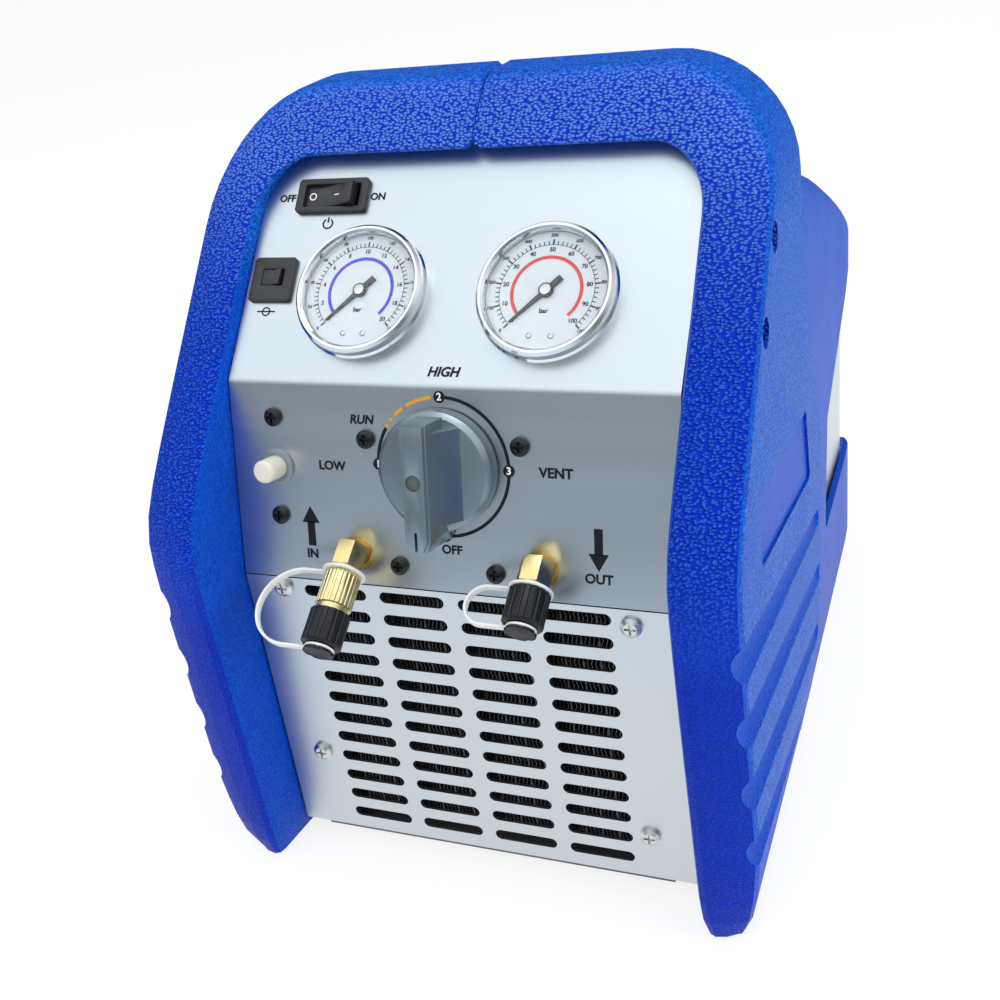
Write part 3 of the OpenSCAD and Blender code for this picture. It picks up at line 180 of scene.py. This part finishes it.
# Base pan and feet. The pan is folded steel sheet in dark paint and carries the works.
# Four moulded rubber pads are pressed under the frame's legs and the pan's rear corners.
grain = bpy.data.node_groups.new("surface_grain", "ShaderNodeTree")
for name, kind in (("Vector", "NodeSocketVector"), ("Size", "NodeSocketFloat")):
    grain.interface.new_socket(name=name, in_out="INPUT", socket_type=kind)
for name in ("Grain", "Patches"):
    grain.interface.new_socket(name=name, in_out="OUTPUT", socket_type="NodeSocketFloat")
given = grain.nodes.new("NodeGroupInput").outputs
result = grain.nodes.new("NodeGroupOutput").inputs
per_metre = reckon(grain, "DIVIDE", 1.0, given["Size"])
for name, scale, detail in (("Grain", per_metre, 3.0), ("Patches", 24.0, 4.0)):
    noise = grain.nodes.new("ShaderNodeTexNoise")
    grain.links.new(given["Vector"], noise.inputs["Vector"])
    wire(grain, scale, noise.inputs["Scale"])
    noise.inputs["Detail"].default_value = detail
    grain.links.new(noise.outputs["Fac"], result[name])


def grained(tree, place, size):
    """The fine grain and the broad patches at a place on the surface."""
    texture = tree.nodes.new("ShaderNodeGroup")
    texture.node_tree = grain
    texture.inputs["Size"].default_value = size
    tree.links.new(place, texture.inputs["Vector"])
    return texture.outputs


def finish(name, colour, rough, metal=0.0, size=0.0008, depth=0.00005, vary=0.12, stretch=(1, 1, 1),
           shine=0.5):
    """A surface with fine grain, and patches where it is a little paler and rougher."""
    mat = bpy.data.materials.new(name)
    mat.use_nodes = True
    tree = mat.node_tree
    shader = tree.nodes["Principled BSDF"].inputs
    shader["Metallic"].default_value = metal
    shader["Specular IOR Level"].default_value = shine
    turn = tree.nodes.new("ShaderNodeMapping")
    turn.inputs["Scale"].default_value = stretch
    tree.links.new(tree.nodes.new("ShaderNodeTexCoord").outputs["Object"], turn.inputs["Vector"])
    texture = grained(tree, turn.outputs[0], size)
    darker = [c * (1 - vary) for c in colour]
    paler = [min(1.0, c * (1 + vary)) for c in colour]
    tree.links.new(blend(tree, texture["Patches"], darker, paler, "RGBA"), shader["Base Color"])
    smoothest, roughest = rough * 0.85, min(1.0, rough * 1.15)
    tree.links.new(ramp(tree, texture["Patches"], 0.3, 0.7, smoothest, roughest), shader["Roughness"])
    bump = tree.nodes.new("ShaderNodeBump")
    bump.inputs["Strength"].default_value = 0.5
    bump.inputs["Distance"].default_value = depth
    tree.links.new(texture["Grain"], bump.inputs["Height"])
    tree.links.new(bump.outputs["Normal"], shader["Normal"])
    return mat


def dress(mat, *names):
    """Gives CAD pieces their finish."""
    for name in names:
        nodes[name].material_slots[0].material = mat


dress(finish("dark_pan_paint", (0.11, 0.11, 0.115), 0.5), "base_pan")
dress(finish("foot_rubber", (0.018, 0.018, 0.019), 0.75, size=0.0012), "rubber_feet", "vibration_mounts")

# Compressor and motor. An oil-less twin in cast alloy stands on rubber mounts, driven by a
# painted motor with a start capacitor, and copper pipes join it to the valve block.
cast_alloy = finish("cast_alloy", (0.55, 0.55, 0.56), 0.5, metal=1.0, size=0.0015, depth=0.0002)
motor_paint = finish("motor_paint", (0.12, 0.125, 0.13), 0.42)
copper = finish("drawn_copper", (0.72, 0.36, 0.2), 0.32, metal=1.0)
black_moulding = finish("black_moulding", (0.016, 0.016, 0.017), 0.42)
dress(cast_alloy, "compressor_body", "cylinder_heads")
dress(motor_paint, "drive_motor", "fan_motor")
dress(copper, "suction_pipe", "discharge_pipe", "condenser_tubes")
dress(black_moulding, "start_capacitor", "fan_shroud")

# Condenser and fan. Thin corrugated fins in black paint are pressed on the hairpin tubes right
# behind the grille, and a five-blade fan in a moulded shroud draws air through them.
fin_low, fin_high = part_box("condenser_fins")
fin_height, fin_depth, fin_wall = 0.124, 0.018, 0.0003
fin_count, fin_pitch = 85, 0.0019
fold_count, fold_depth = 48, 0.0007
side_gap, head_gap = 0.004, 0.002
fin_black = finish("fin_black", (0.1, 0.105, 0.11), 0.4, metal=0.7)
bpy.ops.object.select_all(action="DESELECT")
bpy.ops.mesh.primitive_grid_add(x_subdivisions=fold_count, y_subdivisions=1, size=1.0)
fins = bpy.context.object
fins.name = "corrugated_fins"
bpy.ops.object.mode_set(mode="EDIT")
bpy.ops.mesh.select_all(action="SELECT")
bpy.ops.transform.resize(value=(fin_height, fin_depth, 1.0))
bpy.ops.object.mode_set(mode="OBJECT")
for v in fins.data.vertices:
    row = round((v.co.x / fin_height + 0.5) * fold_count)
    v.co = Vector((fold_depth * (row % 2), v.co.y, v.co.x))
spread = fins.modifiers.new("fin_row", "ARRAY")
spread.use_relative_offset = False
spread.use_constant_offset = True
spread.constant_offset_displace = (fin_pitch, 0.0, 0.0)
spread.count = fin_count
wall = fins.modifiers.new("fin_wall", "SOLIDIFY")
wall.thickness = fin_wall
for name in ("fin_row", "fin_wall"):
    bpy.ops.object.modifier_apply(modifier=name)
fins.location = (fin_low.x + side_gap, (fin_low.y + fin_high.y) / 2, fin_high.z - fin_height / 2 - head_gap)
bpy.ops.object.transform_apply(location=True, rotation=True, scale=True)
fins.data.materials.append(fin_black)
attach(fins, "housing")
dress(fin_black, "condenser_fins")
dress(black_moulding, "fan")

# Case. A bent steel cover in silver paint closes the works, with a hood behind the gauges and
# a rear panel that has the outlet slots and the supply inlet.
silver_paint = finish("silver_paint", (0.62, 0.635, 0.66), 0.36, metal=0.75, size=0.0005)
dress(silver_paint, "case_cover", "top_hood")
zinc = finish("zinc_plate", (0.62, 0.62, 0.61), 0.3, metal=1.0)
dress(zinc, "rear_screws", "grille_screws", "valve_stem", "filter_screen")
dress(black_moulding, "power_inlet")

# Instrument panel and grille. Both are satin stainless sheet, brushed along the width, and
# the panel is folded once between the ports and the gauges.
# The steel's grey is tinted blue: painted reflection of the blue shells
brushed = finish("brushed_sheet", (0.55, 0.59, 0.62), 0.34, metal=1.0, size=0.0004, depth=0.00002,
                 vary=0.05, stretch=(0.06, 1, 1))
dress(brushed, "front_panel", "grille_plate", "rear_panel")
black_screw = finish("black_oxide", (0.02, 0.02, 0.021), 0.32, metal=0.6)
dress(black_screw, "panel_screws", "shell_screws")
dress(finish("cast_brass", (0.7, 0.5, 0.22), 0.35, metal=1.0), "valve_manifold")

# Printing on the panel. Black marks are screen-printed on the sheet: a dial ring round the
# knob with numbered stops, flow arrows at the ports, and short words at the controls.
ledge_z, port_lean, port_face, gauge_lean = 0.1555, 14.0, 0.0875, 43.6
fold_y = panel_y + port_face * math.sin(math.radians(port_lean))
fold_z = ledge_z + port_face * math.cos(math.radians(port_lean))
ink_lift = 0.00012


def on_port_face(x, s, lift=ink_lift):
    """A place on the port face, in millimetres across and up its slope."""
    foot = Matrix.Translation((0.0, panel_y, ledge_z))
    slope = Matrix.Rotation(math.radians(90 - port_lean), 4, "X")
    return foot @ slope @ Matrix.Translation((x / 1000, s / 1000, lift))


def on_gauge_face(x, s, lift=ink_lift):
    """A place on the gauge face, in millimetres across and up its slope."""
    fold = Matrix.Translation((0.0, fold_y, fold_z))
    slope = Matrix.Rotation(math.radians(90 - gauge_lean), 4, "X")
    return fold @ slope @ Matrix.Translation((x / 1000, s / 1000, lift))


def set_down(piece, place):
    """Moves a finished flat piece to its place and leaves the object at the origin."""
    bpy.ops.object.select_all(action="DESELECT")
    piece.select_set(True)
    bpy.context.view_layer.objects.active = piece
    piece.matrix_world = place
    bpy.ops.object.transform_apply(location=True, rotation=True, scale=True)
    return piece


def word(body, capital, place, slant=0.0):
    """Printed letters, by the height of a capital in millimetres."""
    size_of_capital, stroke_of_capital, film = 1.43, 0.045, 0.00004
    bpy.ops.object.select_all(action="DESELECT")
    bpy.ops.object.text_add()
    text = bpy.context.object
    text.data.body = body
    text.data.size = capital / 1000 * size_of_capital
    text.data.align_x = "CENTER"
    text.data.align_y = "CENTER"
    text.data.shear = slant
    text.data.extrude = film
    text.data.offset = capital / 1000 * stroke_of_capital
    text.data.resolution_u = 4
    bpy.ops.object.convert(target="MESH")
    return set_down(bpy.context.object, place)


def arc(inner, outer, start, sweep, place):
    """A printed band in millimetres, from a start angle through a sweep in degrees."""
    bpy.ops.object.select_all(action="DESELECT")
    bpy.ops.mesh.primitive_plane_add(size=1.0)
    band = bpy.context.object
    bpy.ops.object.mode_set(mode="EDIT")
    bpy.ops.mesh.select_all(action="DESELECT")
    bpy.ops.object.mode_set(mode="OBJECT")
    for v in band.data.vertices:
        v.select = v.co.y > 0
        radius = (outer if v.co.x > 0 else inner) / 1000
        v.co = (radius * math.cos(math.radians(start)), radius * math.sin(math.radians(start)), 0.0)
    bpy.ops.object.mode_set(mode="EDIT")
    bpy.ops.mesh.delete(type="VERT")
    bpy.ops.mesh.select_all(action="SELECT")
    bpy.ops.mesh.spin(steps=max(2, int(abs(sweep) / 4)), angle=math.radians(-sweep),
                      center=(0, 0, 0), axis=(0, 0, 1))
    bpy.ops.mesh.select_all(action="SELECT")
    bpy.ops.mesh.normals_make_consistent(inside=False)
    bpy.ops.object.mode_set(mode="OBJECT")
    if band.data.polygons[0].normal.z < 0:
        band.data.flip_normals()
    return set_down(band, place)


def disc(radius, sides, place, turn=0.0):
    """A printed spot, or a triangle when it has three sides."""
    bpy.ops.object.select_all(action="DESELECT")
    bpy.ops.mesh.primitive_circle_add(vertices=sides, radius=radius / 1000, fill_type="NGON")
    return set_down(bpy.context.object, place @ Matrix.Rotation(math.radians(turn), 4, "Z"))


def bar(width, length, place):
    """A printed straight bar in millimetres."""
    bpy.ops.object.select_all(action="DESELECT")
    bpy.ops.mesh.primitive_plane_add(size=0.001)
    return set_down(bpy.context.object, place @ Matrix.Diagonal((width, length, 1.0, 1.0)))


def gather(name, parts, mat, body):
    """Joins printed marks into one piece that rides on a body."""
    bpy.ops.object.select_all(action="DESELECT")
    for part in parts:
        part.select_set(True)
    bpy.context.view_layer.objects.active = parts[0]
    bpy.ops.object.join()
    piece = bpy.context.object
    piece.name = name
    piece.data.materials.clear()
    piece.data.materials.append(mat)
    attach(piece, body)


black_ink = finish("black_ink", (0.012, 0.013, 0.018), 0.5, size=0.0003, depth=0.00001, shine=0.15)
white_ink = finish("white_ink", (0.85, 0.85, 0.84), 0.5, size=0.0003, depth=0.00001)
amber_ink = finish("amber_ink", (0.75, 0.36, 0.02), 0.5, size=0.0003, depth=0.00001)
knob_s, ring_in, ring_out, stop_r = 54.0, 28.6, 30.0, 29.3
stops = (("2", 0.0, stop_r), ("3", stop_r, 0.0), ("0", 0.0, -stop_r), ("1", -stop_r, 0.0))
spot_lift, digit_lift = ink_lift + 0.00004, ink_lift + 0.00014
shaft_w, shaft_l, head_r = 3.6, 11.0, 4.9
ring = on_port_face(0.0, knob_s)
marks = [
    arc(ring_in, ring_out, 90.0, -180.0, ring),
    arc(29.2, 29.7, 180.0, 90.0, ring),
    arc(ring_in, ring_out, 180.0, -32.0, ring),
    word("OFF", 3.7, on_port_face(2.6, 18.8)),
    word("ON", 3.2, on_gauge_face(-43.8, 85.5)),
    word("OFF", 3.2, on_gauge_face(-88.6, 85.8)),
    word("RUN", 3.7, on_port_face(-36.2, 72.5), 0.2),
    word("LOW", 3.8, on_port_face(-51.6, 52.0)),
    word("VENT", 4.0, on_port_face(49.3, 54.0)),
    word("HIGH", 4.0, on_gauge_face(1.0, 6.2), 0.2),
    word("IN", 3.9, on_port_face(-64.2, 12.0)),
    word("OUT", 3.9, on_port_face(66.4, 11.4)),
    bar(shaft_w, shaft_l, on_port_face(-64.0, 21.2)),
    disc(head_r, 3, on_port_face(-64.0, 28.6), 0.0),
    bar(shaft_w, shaft_l, on_port_face(66.4, 27.0)),
    disc(head_r, 3, on_port_face(66.4, 19.6), 180.0),
]
marks += [disc(2.5, 28, on_port_face(x, knob_s + s, spot_lift)) for _, x, s in stops]
# Plain pictograms under the switch and the breaker
marks += [
    arc(1.9, 2.6, 122.0, 296.0, on_gauge_face(-65.9, 73.3)),
    bar(0.7, 2.6, on_gauge_face(-65.9, 75.1)),
    bar(9.0, 0.6, on_gauge_face(-88.0, 32.0)),
    arc(1.5, 2.1, 0.0, 360.0, on_gauge_face(-88.0, 32.0)),
]
gather("panel_print", marks, black_ink, "housing")
digits = [word(digit, 3.0, on_port_face(x, knob_s + s, digit_lift)) for digit, x, s in stops]
gather("stop_numbers", digits, white_ink, "housing")
dashes = [arc(ring_in, ring_out, start, -sweep, ring)
          for start, sweep in ((147.0, 3.5), (140.5, 3.0), (134.0, 9.5), (121.0, 24.0))]
gather("start_dashes", dashes, amber_ink, "housing")

# Pressure gauges. A pressed steel case sits in the panel behind a polished stepped bezel, with
# a white enamel dial, a black needle on a silver hub, and a clear lens.
chrome = finish("polished_chrome", (0.72, 0.73, 0.74), 0.09, metal=1.0, vary=0.03, depth=0.000005)
# The white enamel is coloured mid grey: painted shade, as the bezel and the lens shade the dial
enamel = finish("dial_enamel", (0.43, 0.47, 0.5), 0.4, vary=0.02, depth=0.000005)
needle_black = finish("needle_black", (0.014, 0.014, 0.015), 0.4)
case_black = finish("gauge_case_black", (0.04, 0.04, 0.042), 0.4)
dress(chrome, "low_gauge_bezel", "high_gauge_bezel")
dress(enamel, "low_gauge_dial", "high_gauge_dial")
dress(needle_black, "low_gauge_pointer", "high_gauge_pointer")
dress(case_black, "low_gauge_case", "high_gauge_case")
lens_clear = bpy.data.materials.new("lens_clear")
lens_clear.use_nodes = True
tree = lens_clear.node_tree
shader = tree.nodes["Principled BSDF"]
shader.inputs["Base Color"].default_value = (1.0, 1.0, 1.0, 1.0)
shader.inputs["Transmission Weight"].default_value = 1.0
shader.inputs["IOR"].default_value = 1.25
texture = grained(tree, tree.nodes.new("ShaderNodeTexCoord").outputs["Object"], 0.002)
tree.links.new(ramp(tree, texture["Patches"], 0.0, 1.0, 0.0, 0.04), shader.inputs["Roughness"])
through = tree.nodes.new("ShaderNodeBsdfTransparent")
shadow = tree.nodes.new("ShaderNodeLightPath").outputs["Is Shadow Ray"]
tree.links.new(mix_shaders(tree, shadow, shader.outputs[0], through.outputs[0]),
               tree.nodes["Material Output"].inputs["Surface"])
dress(lens_clear, "low_gauge_lens", "high_gauge_lens")
scale_sweep = 270.0


def ticks(inner, outer, width, count, place):
    """Scale lines from lower left to lower right over three quarters of the dial."""
    middle = (0.0, (inner + outer) / 2000, 0.0)
    bpy.ops.object.select_all(action="DESELECT")
    bpy.ops.mesh.primitive_plane_add(size=0.001, location=middle)
    line = bpy.context.object
    bpy.ops.object.transform_apply(location=True, rotation=True, scale=True)
    bpy.ops.object.mode_set(mode="EDIT")
    bpy.ops.mesh.select_all(action="SELECT")
    bpy.ops.transform.resize(value=(width, outer - inner, 1.0), center_override=middle)
    bpy.ops.mesh.spin(steps=count, dupli=True, angle=math.radians(scale_sweep),
                      center=(0, 0, 0), axis=(0, 0, 1))
    bpy.ops.object.mode_set(mode="OBJECT")
    turn = scale_sweep / 2 * (-1 if line.data.polygons[1].center.x < 0 else 1)
    return set_down(line, place @ Matrix.Rotation(math.radians(turn), 4, "Z"))


def on_dial(face, radius, angle):
    """A place on a dial, in millimetres from its middle and degrees."""
    turn = math.radians(angle)
    return face @ Matrix.Translation((radius / 1000 * math.cos(turn), radius / 1000 * math.sin(turn), 0.0))


blue_ink = finish("blue_ink", (0.004, 0.02, 0.4), 0.45, size=0.0003, depth=0.00001)
red_ink = finish("red_ink", (0.42, 0.02, 0.02), 0.45, size=0.0003, depth=0.00001)
hub_silver = finish("hub_silver", (0.42, 0.43, 0.43), 0.3, metal=1.0)
gauge_x, gauge_s = 41.4, 40.0
dial_top, needle_top, ink_film = 0.0034, 0.00531, 0.00006
scale_start, scale_end = 225.0, -45.0
scale_r, short_r, long_r = 20.0, 21.6, 22.3
inner_r, outer_r, unit_r = 17.8, 24.0, 8.5
band_in, band_out = 13.8, 15.3
hub_r, hub_h, hub_edge = 0.0023, 0.0005, 0.0002
rivet_r, rivet_rise, rivet_x, rivet_drop = 0.0013, 0.45, 4.6, 19.0
for side, x, arc_ink, step in (("low", -gauge_x, blue_ink, 2), ("high", gauge_x, red_ink, 10)):
    face = on_gauge_face(x, gauge_s, dial_top + ink_film)
    scale = [
        ticks(scale_r, short_r, 0.42, 50, face),
        ticks(scale_r, long_r, 0.7, 10, face),
        arc(scale_r - 0.15, scale_r + 0.1, scale_end, scale_sweep, face),
        word("bar", 2.0, on_dial(face, unit_r, -90.0)),
    ]
    for i in range(11):
        angle = scale_start - scale_sweep / 10 * i
        scale.append(word(str(i * step), 1.8, on_dial(face, inner_r, angle)))
        scale.append(word(str(i * step * 10), 1.4, on_dial(face, outer_r, angle)))
    gather(side + "_dial_scale", scale, black_ink, "housing")
    band = arc(band_in, band_out, scale_end, scale_sweep, face)
    gather(side + "_dial_arc", [band], arc_ink, "housing")
    # Turned hub on the needle, and the two small rivets that hold the dial
    bpy.ops.object.select_all(action="DESELECT")
    bpy.ops.mesh.primitive_cylinder_add(vertices=32, radius=hub_r, depth=hub_h)
    hub = bpy.context.object
    soft = hub.modifiers.new("soft_rim", "BEVEL")
    soft.width = hub_edge
    soft.segments = 2
    bpy.ops.object.modifier_apply(modifier="soft_rim")
    bpy.ops.object.shade_smooth_by_angle(angle=math.radians(40))
    set_down(hub, on_gauge_face(x, gauge_s, needle_top))
    hub.name = side + "_needle_hub"
    hub.data.materials.append(hub_silver)
    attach(hub, side + "_pointer")
    rivets = []
    for dx in (-rivet_x, rivet_x):
        bpy.ops.object.select_all(action="DESELECT")
        bpy.ops.mesh.primitive_uv_sphere_add(segments=20, ring_count=10, radius=rivet_r)
        rivet = bpy.context.object
        bpy.ops.object.shade_smooth()
        seat = on_gauge_face(x + dx, gauge_s - rivet_drop, dial_top)
        rivets.append(set_down(rivet, seat @ Matrix.Diagonal((1, 1, rivet_rise, 1))))
    gather(side + "_dial_rivets", rivets, hub_silver, "housing")

# Switch, breaker and reset. Moulded black snap-in bezels hold a rocker each, and an ivory
# button stands in the plated collar of the pressure cut-out.
gloss_black = finish("gloss_black", (0.014, 0.014, 0.016), 0.28)
ivory = finish("ivory_button", (0.72, 0.68, 0.57), 0.4)
cutout_grey = finish("cutout_grey", (0.3, 0.34, 0.38), 0.38, metal=0.6)


def soften(node, name, body, mat, width, limit=35.0):
    """A copy of a CAD piece with its moulded or turned edges softened."""
    bpy.ops.object.select_all(action="DESELECT")
    piece = bpy.data.objects.new(name, nodes[node].data.copy())
    bpy.context.scene.collection.objects.link(piece)
    piece.select_set(True)
    bpy.context.view_layer.objects.active = piece
    bpy.ops.mesh.customdata_custom_splitnormals_clear()
    bpy.ops.object.mode_set(mode="EDIT")
    bpy.ops.mesh.select_all(action="SELECT")
    bpy.ops.mesh.remove_doubles(threshold=0.000005)
    bpy.ops.mesh.dissolve_limited(angle_limit=math.radians(0.3))
    bpy.ops.object.mode_set(mode="OBJECT")
    if width:
        edge = piece.modifiers.new("soft_edge", "BEVEL")
        edge.width = width
        edge.segments = 2
        edge.limit_method = "ANGLE"
        edge.angle_limit = math.radians(limit)
        bpy.ops.object.modifier_apply(modifier="soft_edge")
    bpy.ops.object.shade_smooth_by_angle(angle=math.radians(limit))
    piece.data.materials.clear()
    piece.data.materials.append(mat)
    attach(piece, body)
    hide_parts(node)


soften("switch_body", "switch_bezel", "housing", black_moulding, 0.0004)
soften("power_rocker", "switch_rocker", "power_rocker", gloss_black, 0.0003)
soften("breaker_body", "breaker_bezel", "housing", black_moulding, 0.0004)
soften("breaker_rocker", "breaker_tab", "breaker_rocker", gloss_black, 0.0002)
soften("pressure_switch", "cutout_body", "housing", cutout_grey, 0.0003)
soften("reset_button", "reset_plunger", "reset_button", ivory, 0.0004)
rocker_tilt = -11.0
rocker = on_gauge_face(-65.5, 86.0, -0.002) @ Matrix.Rotation(math.radians(rocker_tilt), 4, "Y")


def on_rocker(x, rise, lean):
    """A place on one of the rocker's two leaning faces."""
    return rocker @ Matrix.Translation((x, 0.0, rise)) @ Matrix.Rotation(math.radians(lean), 4, "Y")


off_mark = arc(1.25, 1.75, 0.0, 360.0, on_rocker(-0.0092, 0.00462, 11.6))
on_mark = bar(2.6, 0.55, on_rocker(0.0034, 0.00388, -3.5))
gather("rocker_marks", [off_mark, on_mark], white_ink, "power_rocker")

# Selector. A die-cast knob with a raised grip turns the valve stem, and the grip's pointed end
# shows the stop. The grey head of the screw that holds it sits in its middle.
knob_cast = finish("knob_cast", (0.25, 0.3, 0.33), 0.34, metal=0.85, size=0.0005)
dress(finish("plug_grey", (0.085, 0.105, 0.1), 0.6), "knob_screw")
soften("selector_knob", "valve_knob", "selector", knob_cast, 0.0006, 30.0)

# Ports. Brass elbows of hexagon bar come out of the valve block, the inlet has a knurled filter,
# and ribbed black caps hang on white moulded straps.
brass = finish("machined_brass", (0.72, 0.58, 0.27), 0.26, metal=1.0, size=0.0006)
knurl_brass = finish("knurled_brass", (0.78, 0.65, 0.33), 0.3, metal=1.0, size=0.0006)
cap_plastic = finish("cap_plastic", (0.01, 0.01, 0.012), 0.34, shine=0.25)
strap_white = finish("strap_white", (0.8, 0.8, 0.79), 0.45)
for port in ("inlet", "outlet"):
    soften(port + "_elbow", port + "_fitting", "housing", brass, 0.0004)
    soften(port + "_cap", port + "_dust_cap", port + "_cap", cap_plastic, 0.00025)
    soften(port + "_tether", port + "_strap", "housing", strap_white, 0.0003)
soften("inlet_filter", "knurled_filter", "inlet_filter", knurl_brass, 0.00015)

# Shells. Two mouldings in royal blue polypropylene meet at a seam on the arch. The front has a
# coarse pebble grain from the tool, and the sides and grooves a fine one.
kink_low, kink_high = 0.14, 0.2
arch_low, arch_high = 0.27, 0.29
# Heights over which the brow's pebbles are coloured paler: painted highlight
lit_brow_from, lit_brow_to = 0.25, 0.32
leg_top, ridge_top, ridge_foot = 0.295, 0.127, 0.13163
shell_blue = bpy.data.materials.new("shell_blue")
shell_blue.use_nodes = True
tree = shell_blue.node_tree
shader = tree.nodes["Principled BSDF"].inputs
place = tree.nodes.new("ShaderNodeTexCoord").outputs["Object"]
spot = parts_of(tree, place)
facing = parts_of(tree, tree.nodes.new("ShaderNodeNewGeometry").outputs["Normal"])
front = ramp(tree, facing["Y"], -0.35, -0.7)
# The pebbles are laid out flat along the legs and the brow, wider than they are high
up_the_slope = reckon(tree, "MULTIPLY_ADD", spot["Y"], 0.39, spot["Z"])
flat = tree.nodes.new("ShaderNodeCombineXYZ")
tree.links.new(spot["X"], flat.inputs["X"])
tree.links.new(up_the_slope, flat.inputs["Y"])
stretch = tree.nodes.new("ShaderNodeMapping")
stretch.inputs["Scale"].default_value = (1.0, 1.45, 1.0)
tree.links.new(flat.outputs[0], stretch.inputs["Vector"])
wobble = tree.nodes.new("ShaderNodeTexNoise")
wobble.inputs["Scale"].default_value = 300.0
wobble.inputs["Detail"].default_value = 1.0
tree.links.new(stretch.outputs[0], wobble.inputs["Vector"])
shift = tree.nodes.new("ShaderNodeVectorMath")
shift.operation = "MULTIPLY_ADD"
shift.inputs[1].default_value = (0.0014, 0.0014, 0.0)
tree.links.new(wobble.outputs["Color"], shift.inputs[0])
tree.links.new(stretch.outputs[0], shift.inputs[2])
# The shifted place picks out each pebble's upper part for the painted highlight
crown = tree.nodes.new("ShaderNodeVectorMath")
crown.operation = "ADD"
crown.inputs[1].default_value = (-0.0003, -0.0006, 0.0)
tree.links.new(shift.outputs[0], crown.inputs[0])


def pebbles(tree, spread, count, height):
    """Rounded pebbles on a spread, so many to the metre."""
    cells = tree.nodes.new("ShaderNodeTexVoronoi")
    cells.voronoi_dimensions = "2D"
    cells.inputs["Scale"].default_value = count
    cells.inputs["Randomness"].default_value = 0.85
    tree.links.new(spread.outputs[0], cells.inputs["Vector"])
    return ramp(tree, cells.outputs["Distance"], 0.66, 0.08, 0.0, height, smooth=True)


# The grain is coarse above the frame's kink, and fine and shallow below it, and each pebble is
# paler on its upper part: painted highlight, as from light falling from above
upper = ramp(tree, spot["Z"], kink_low, kink_high)
domes, lit_tops = [], []
for count, height in ((820.0, 0.5), (540.0, 1.0)):
    dome = pebbles(tree, shift, count, height)
    domes.append(dome)
    lit_tops.append(reckon(tree, "MULTIPLY", dome, pebbles(tree, crown, count, height)))
pebble = blend(tree, upper, *domes)
gleam = blend(tree, upper, *lit_tops)
# The ridges are sandier than the grooves. The legs splay outwards, so the ridges' plane
# follows the height. The arch is sandy all over.
texture = grained(tree, place, 0.0011)
ridge_plane = ramp(tree, spot["Z"], leg_top, 0.0, ridge_top, ridge_foot)
depth = reckon(tree, "SUBTRACT", reckon(tree, "ABSOLUTE", spot["X"]), ridge_plane)
ridge = ramp(tree, depth, -0.0012, -0.0003)
arch = ramp(tree, spot["Z"], arch_low, arch_high)
coarse = ramp(tree, reckon(tree, "MAXIMUM", ridge, arch), 0.0, 1.0, 0.3, 1.0)
sand = reckon(tree, "MULTIPLY", ramp(tree, texture["Grain"], 0.36, 0.64), coarse)
bump = tree.nodes.new("ShaderNodeBump")
bump.inputs["Strength"].default_value = 1.0
bump.inputs["Distance"].default_value = 0.001
tree.links.new(blend(tree, front, sand, pebble), bump.inputs["Height"])
tree.links.new(bump.outputs["Normal"], shader["Normal"])
# The arch is the handle. Its pebbles are coloured pale all over: painted highlight, as the brow faces the
# light above
brow_lit_mask = ramp(tree, spot["Z"], lit_brow_from, lit_brow_to)
brow_highlight = blend(tree, brow_lit_mask, gleam, pebble)
# The pale blues are painted highlights on the pebbles, and the deep blue is the moulding's own colour
deep_blue = (0.001, 0.026, 0.46)
leg_coat = blend(tree, gleam, deep_blue, (0.03, 0.16, 0.88), "RGBA")
pale_lit_coat = blend(tree, brow_highlight, deep_blue, (0.13, 0.3, 1.0), "RGBA")
front_coat = blend(tree, brow_lit_mask, leg_coat, pale_lit_coat, "RGBA")
side_coat = blend(tree, sand, (0.001, 0.045, 0.46), (0.012, 0.22, 1.0), "RGBA")
tree.links.new(blend(tree, front, side_coat, front_coat, "RGBA"), shader["Base Color"])
tree.links.new(ramp(tree, texture["Patches"], 0.0, 1.0, 0.34, 0.44), shader["Roughness"])
shader["Specular IOR Level"].default_value = 0.12
shader["Specular Tint"].default_value = (0.35, 0.55, 1.0, 1.0)
for side in ("left", "right"):
    soften(side + "_shell", side + "_moulding", "housing", shell_blue, 0.0, 32.0)
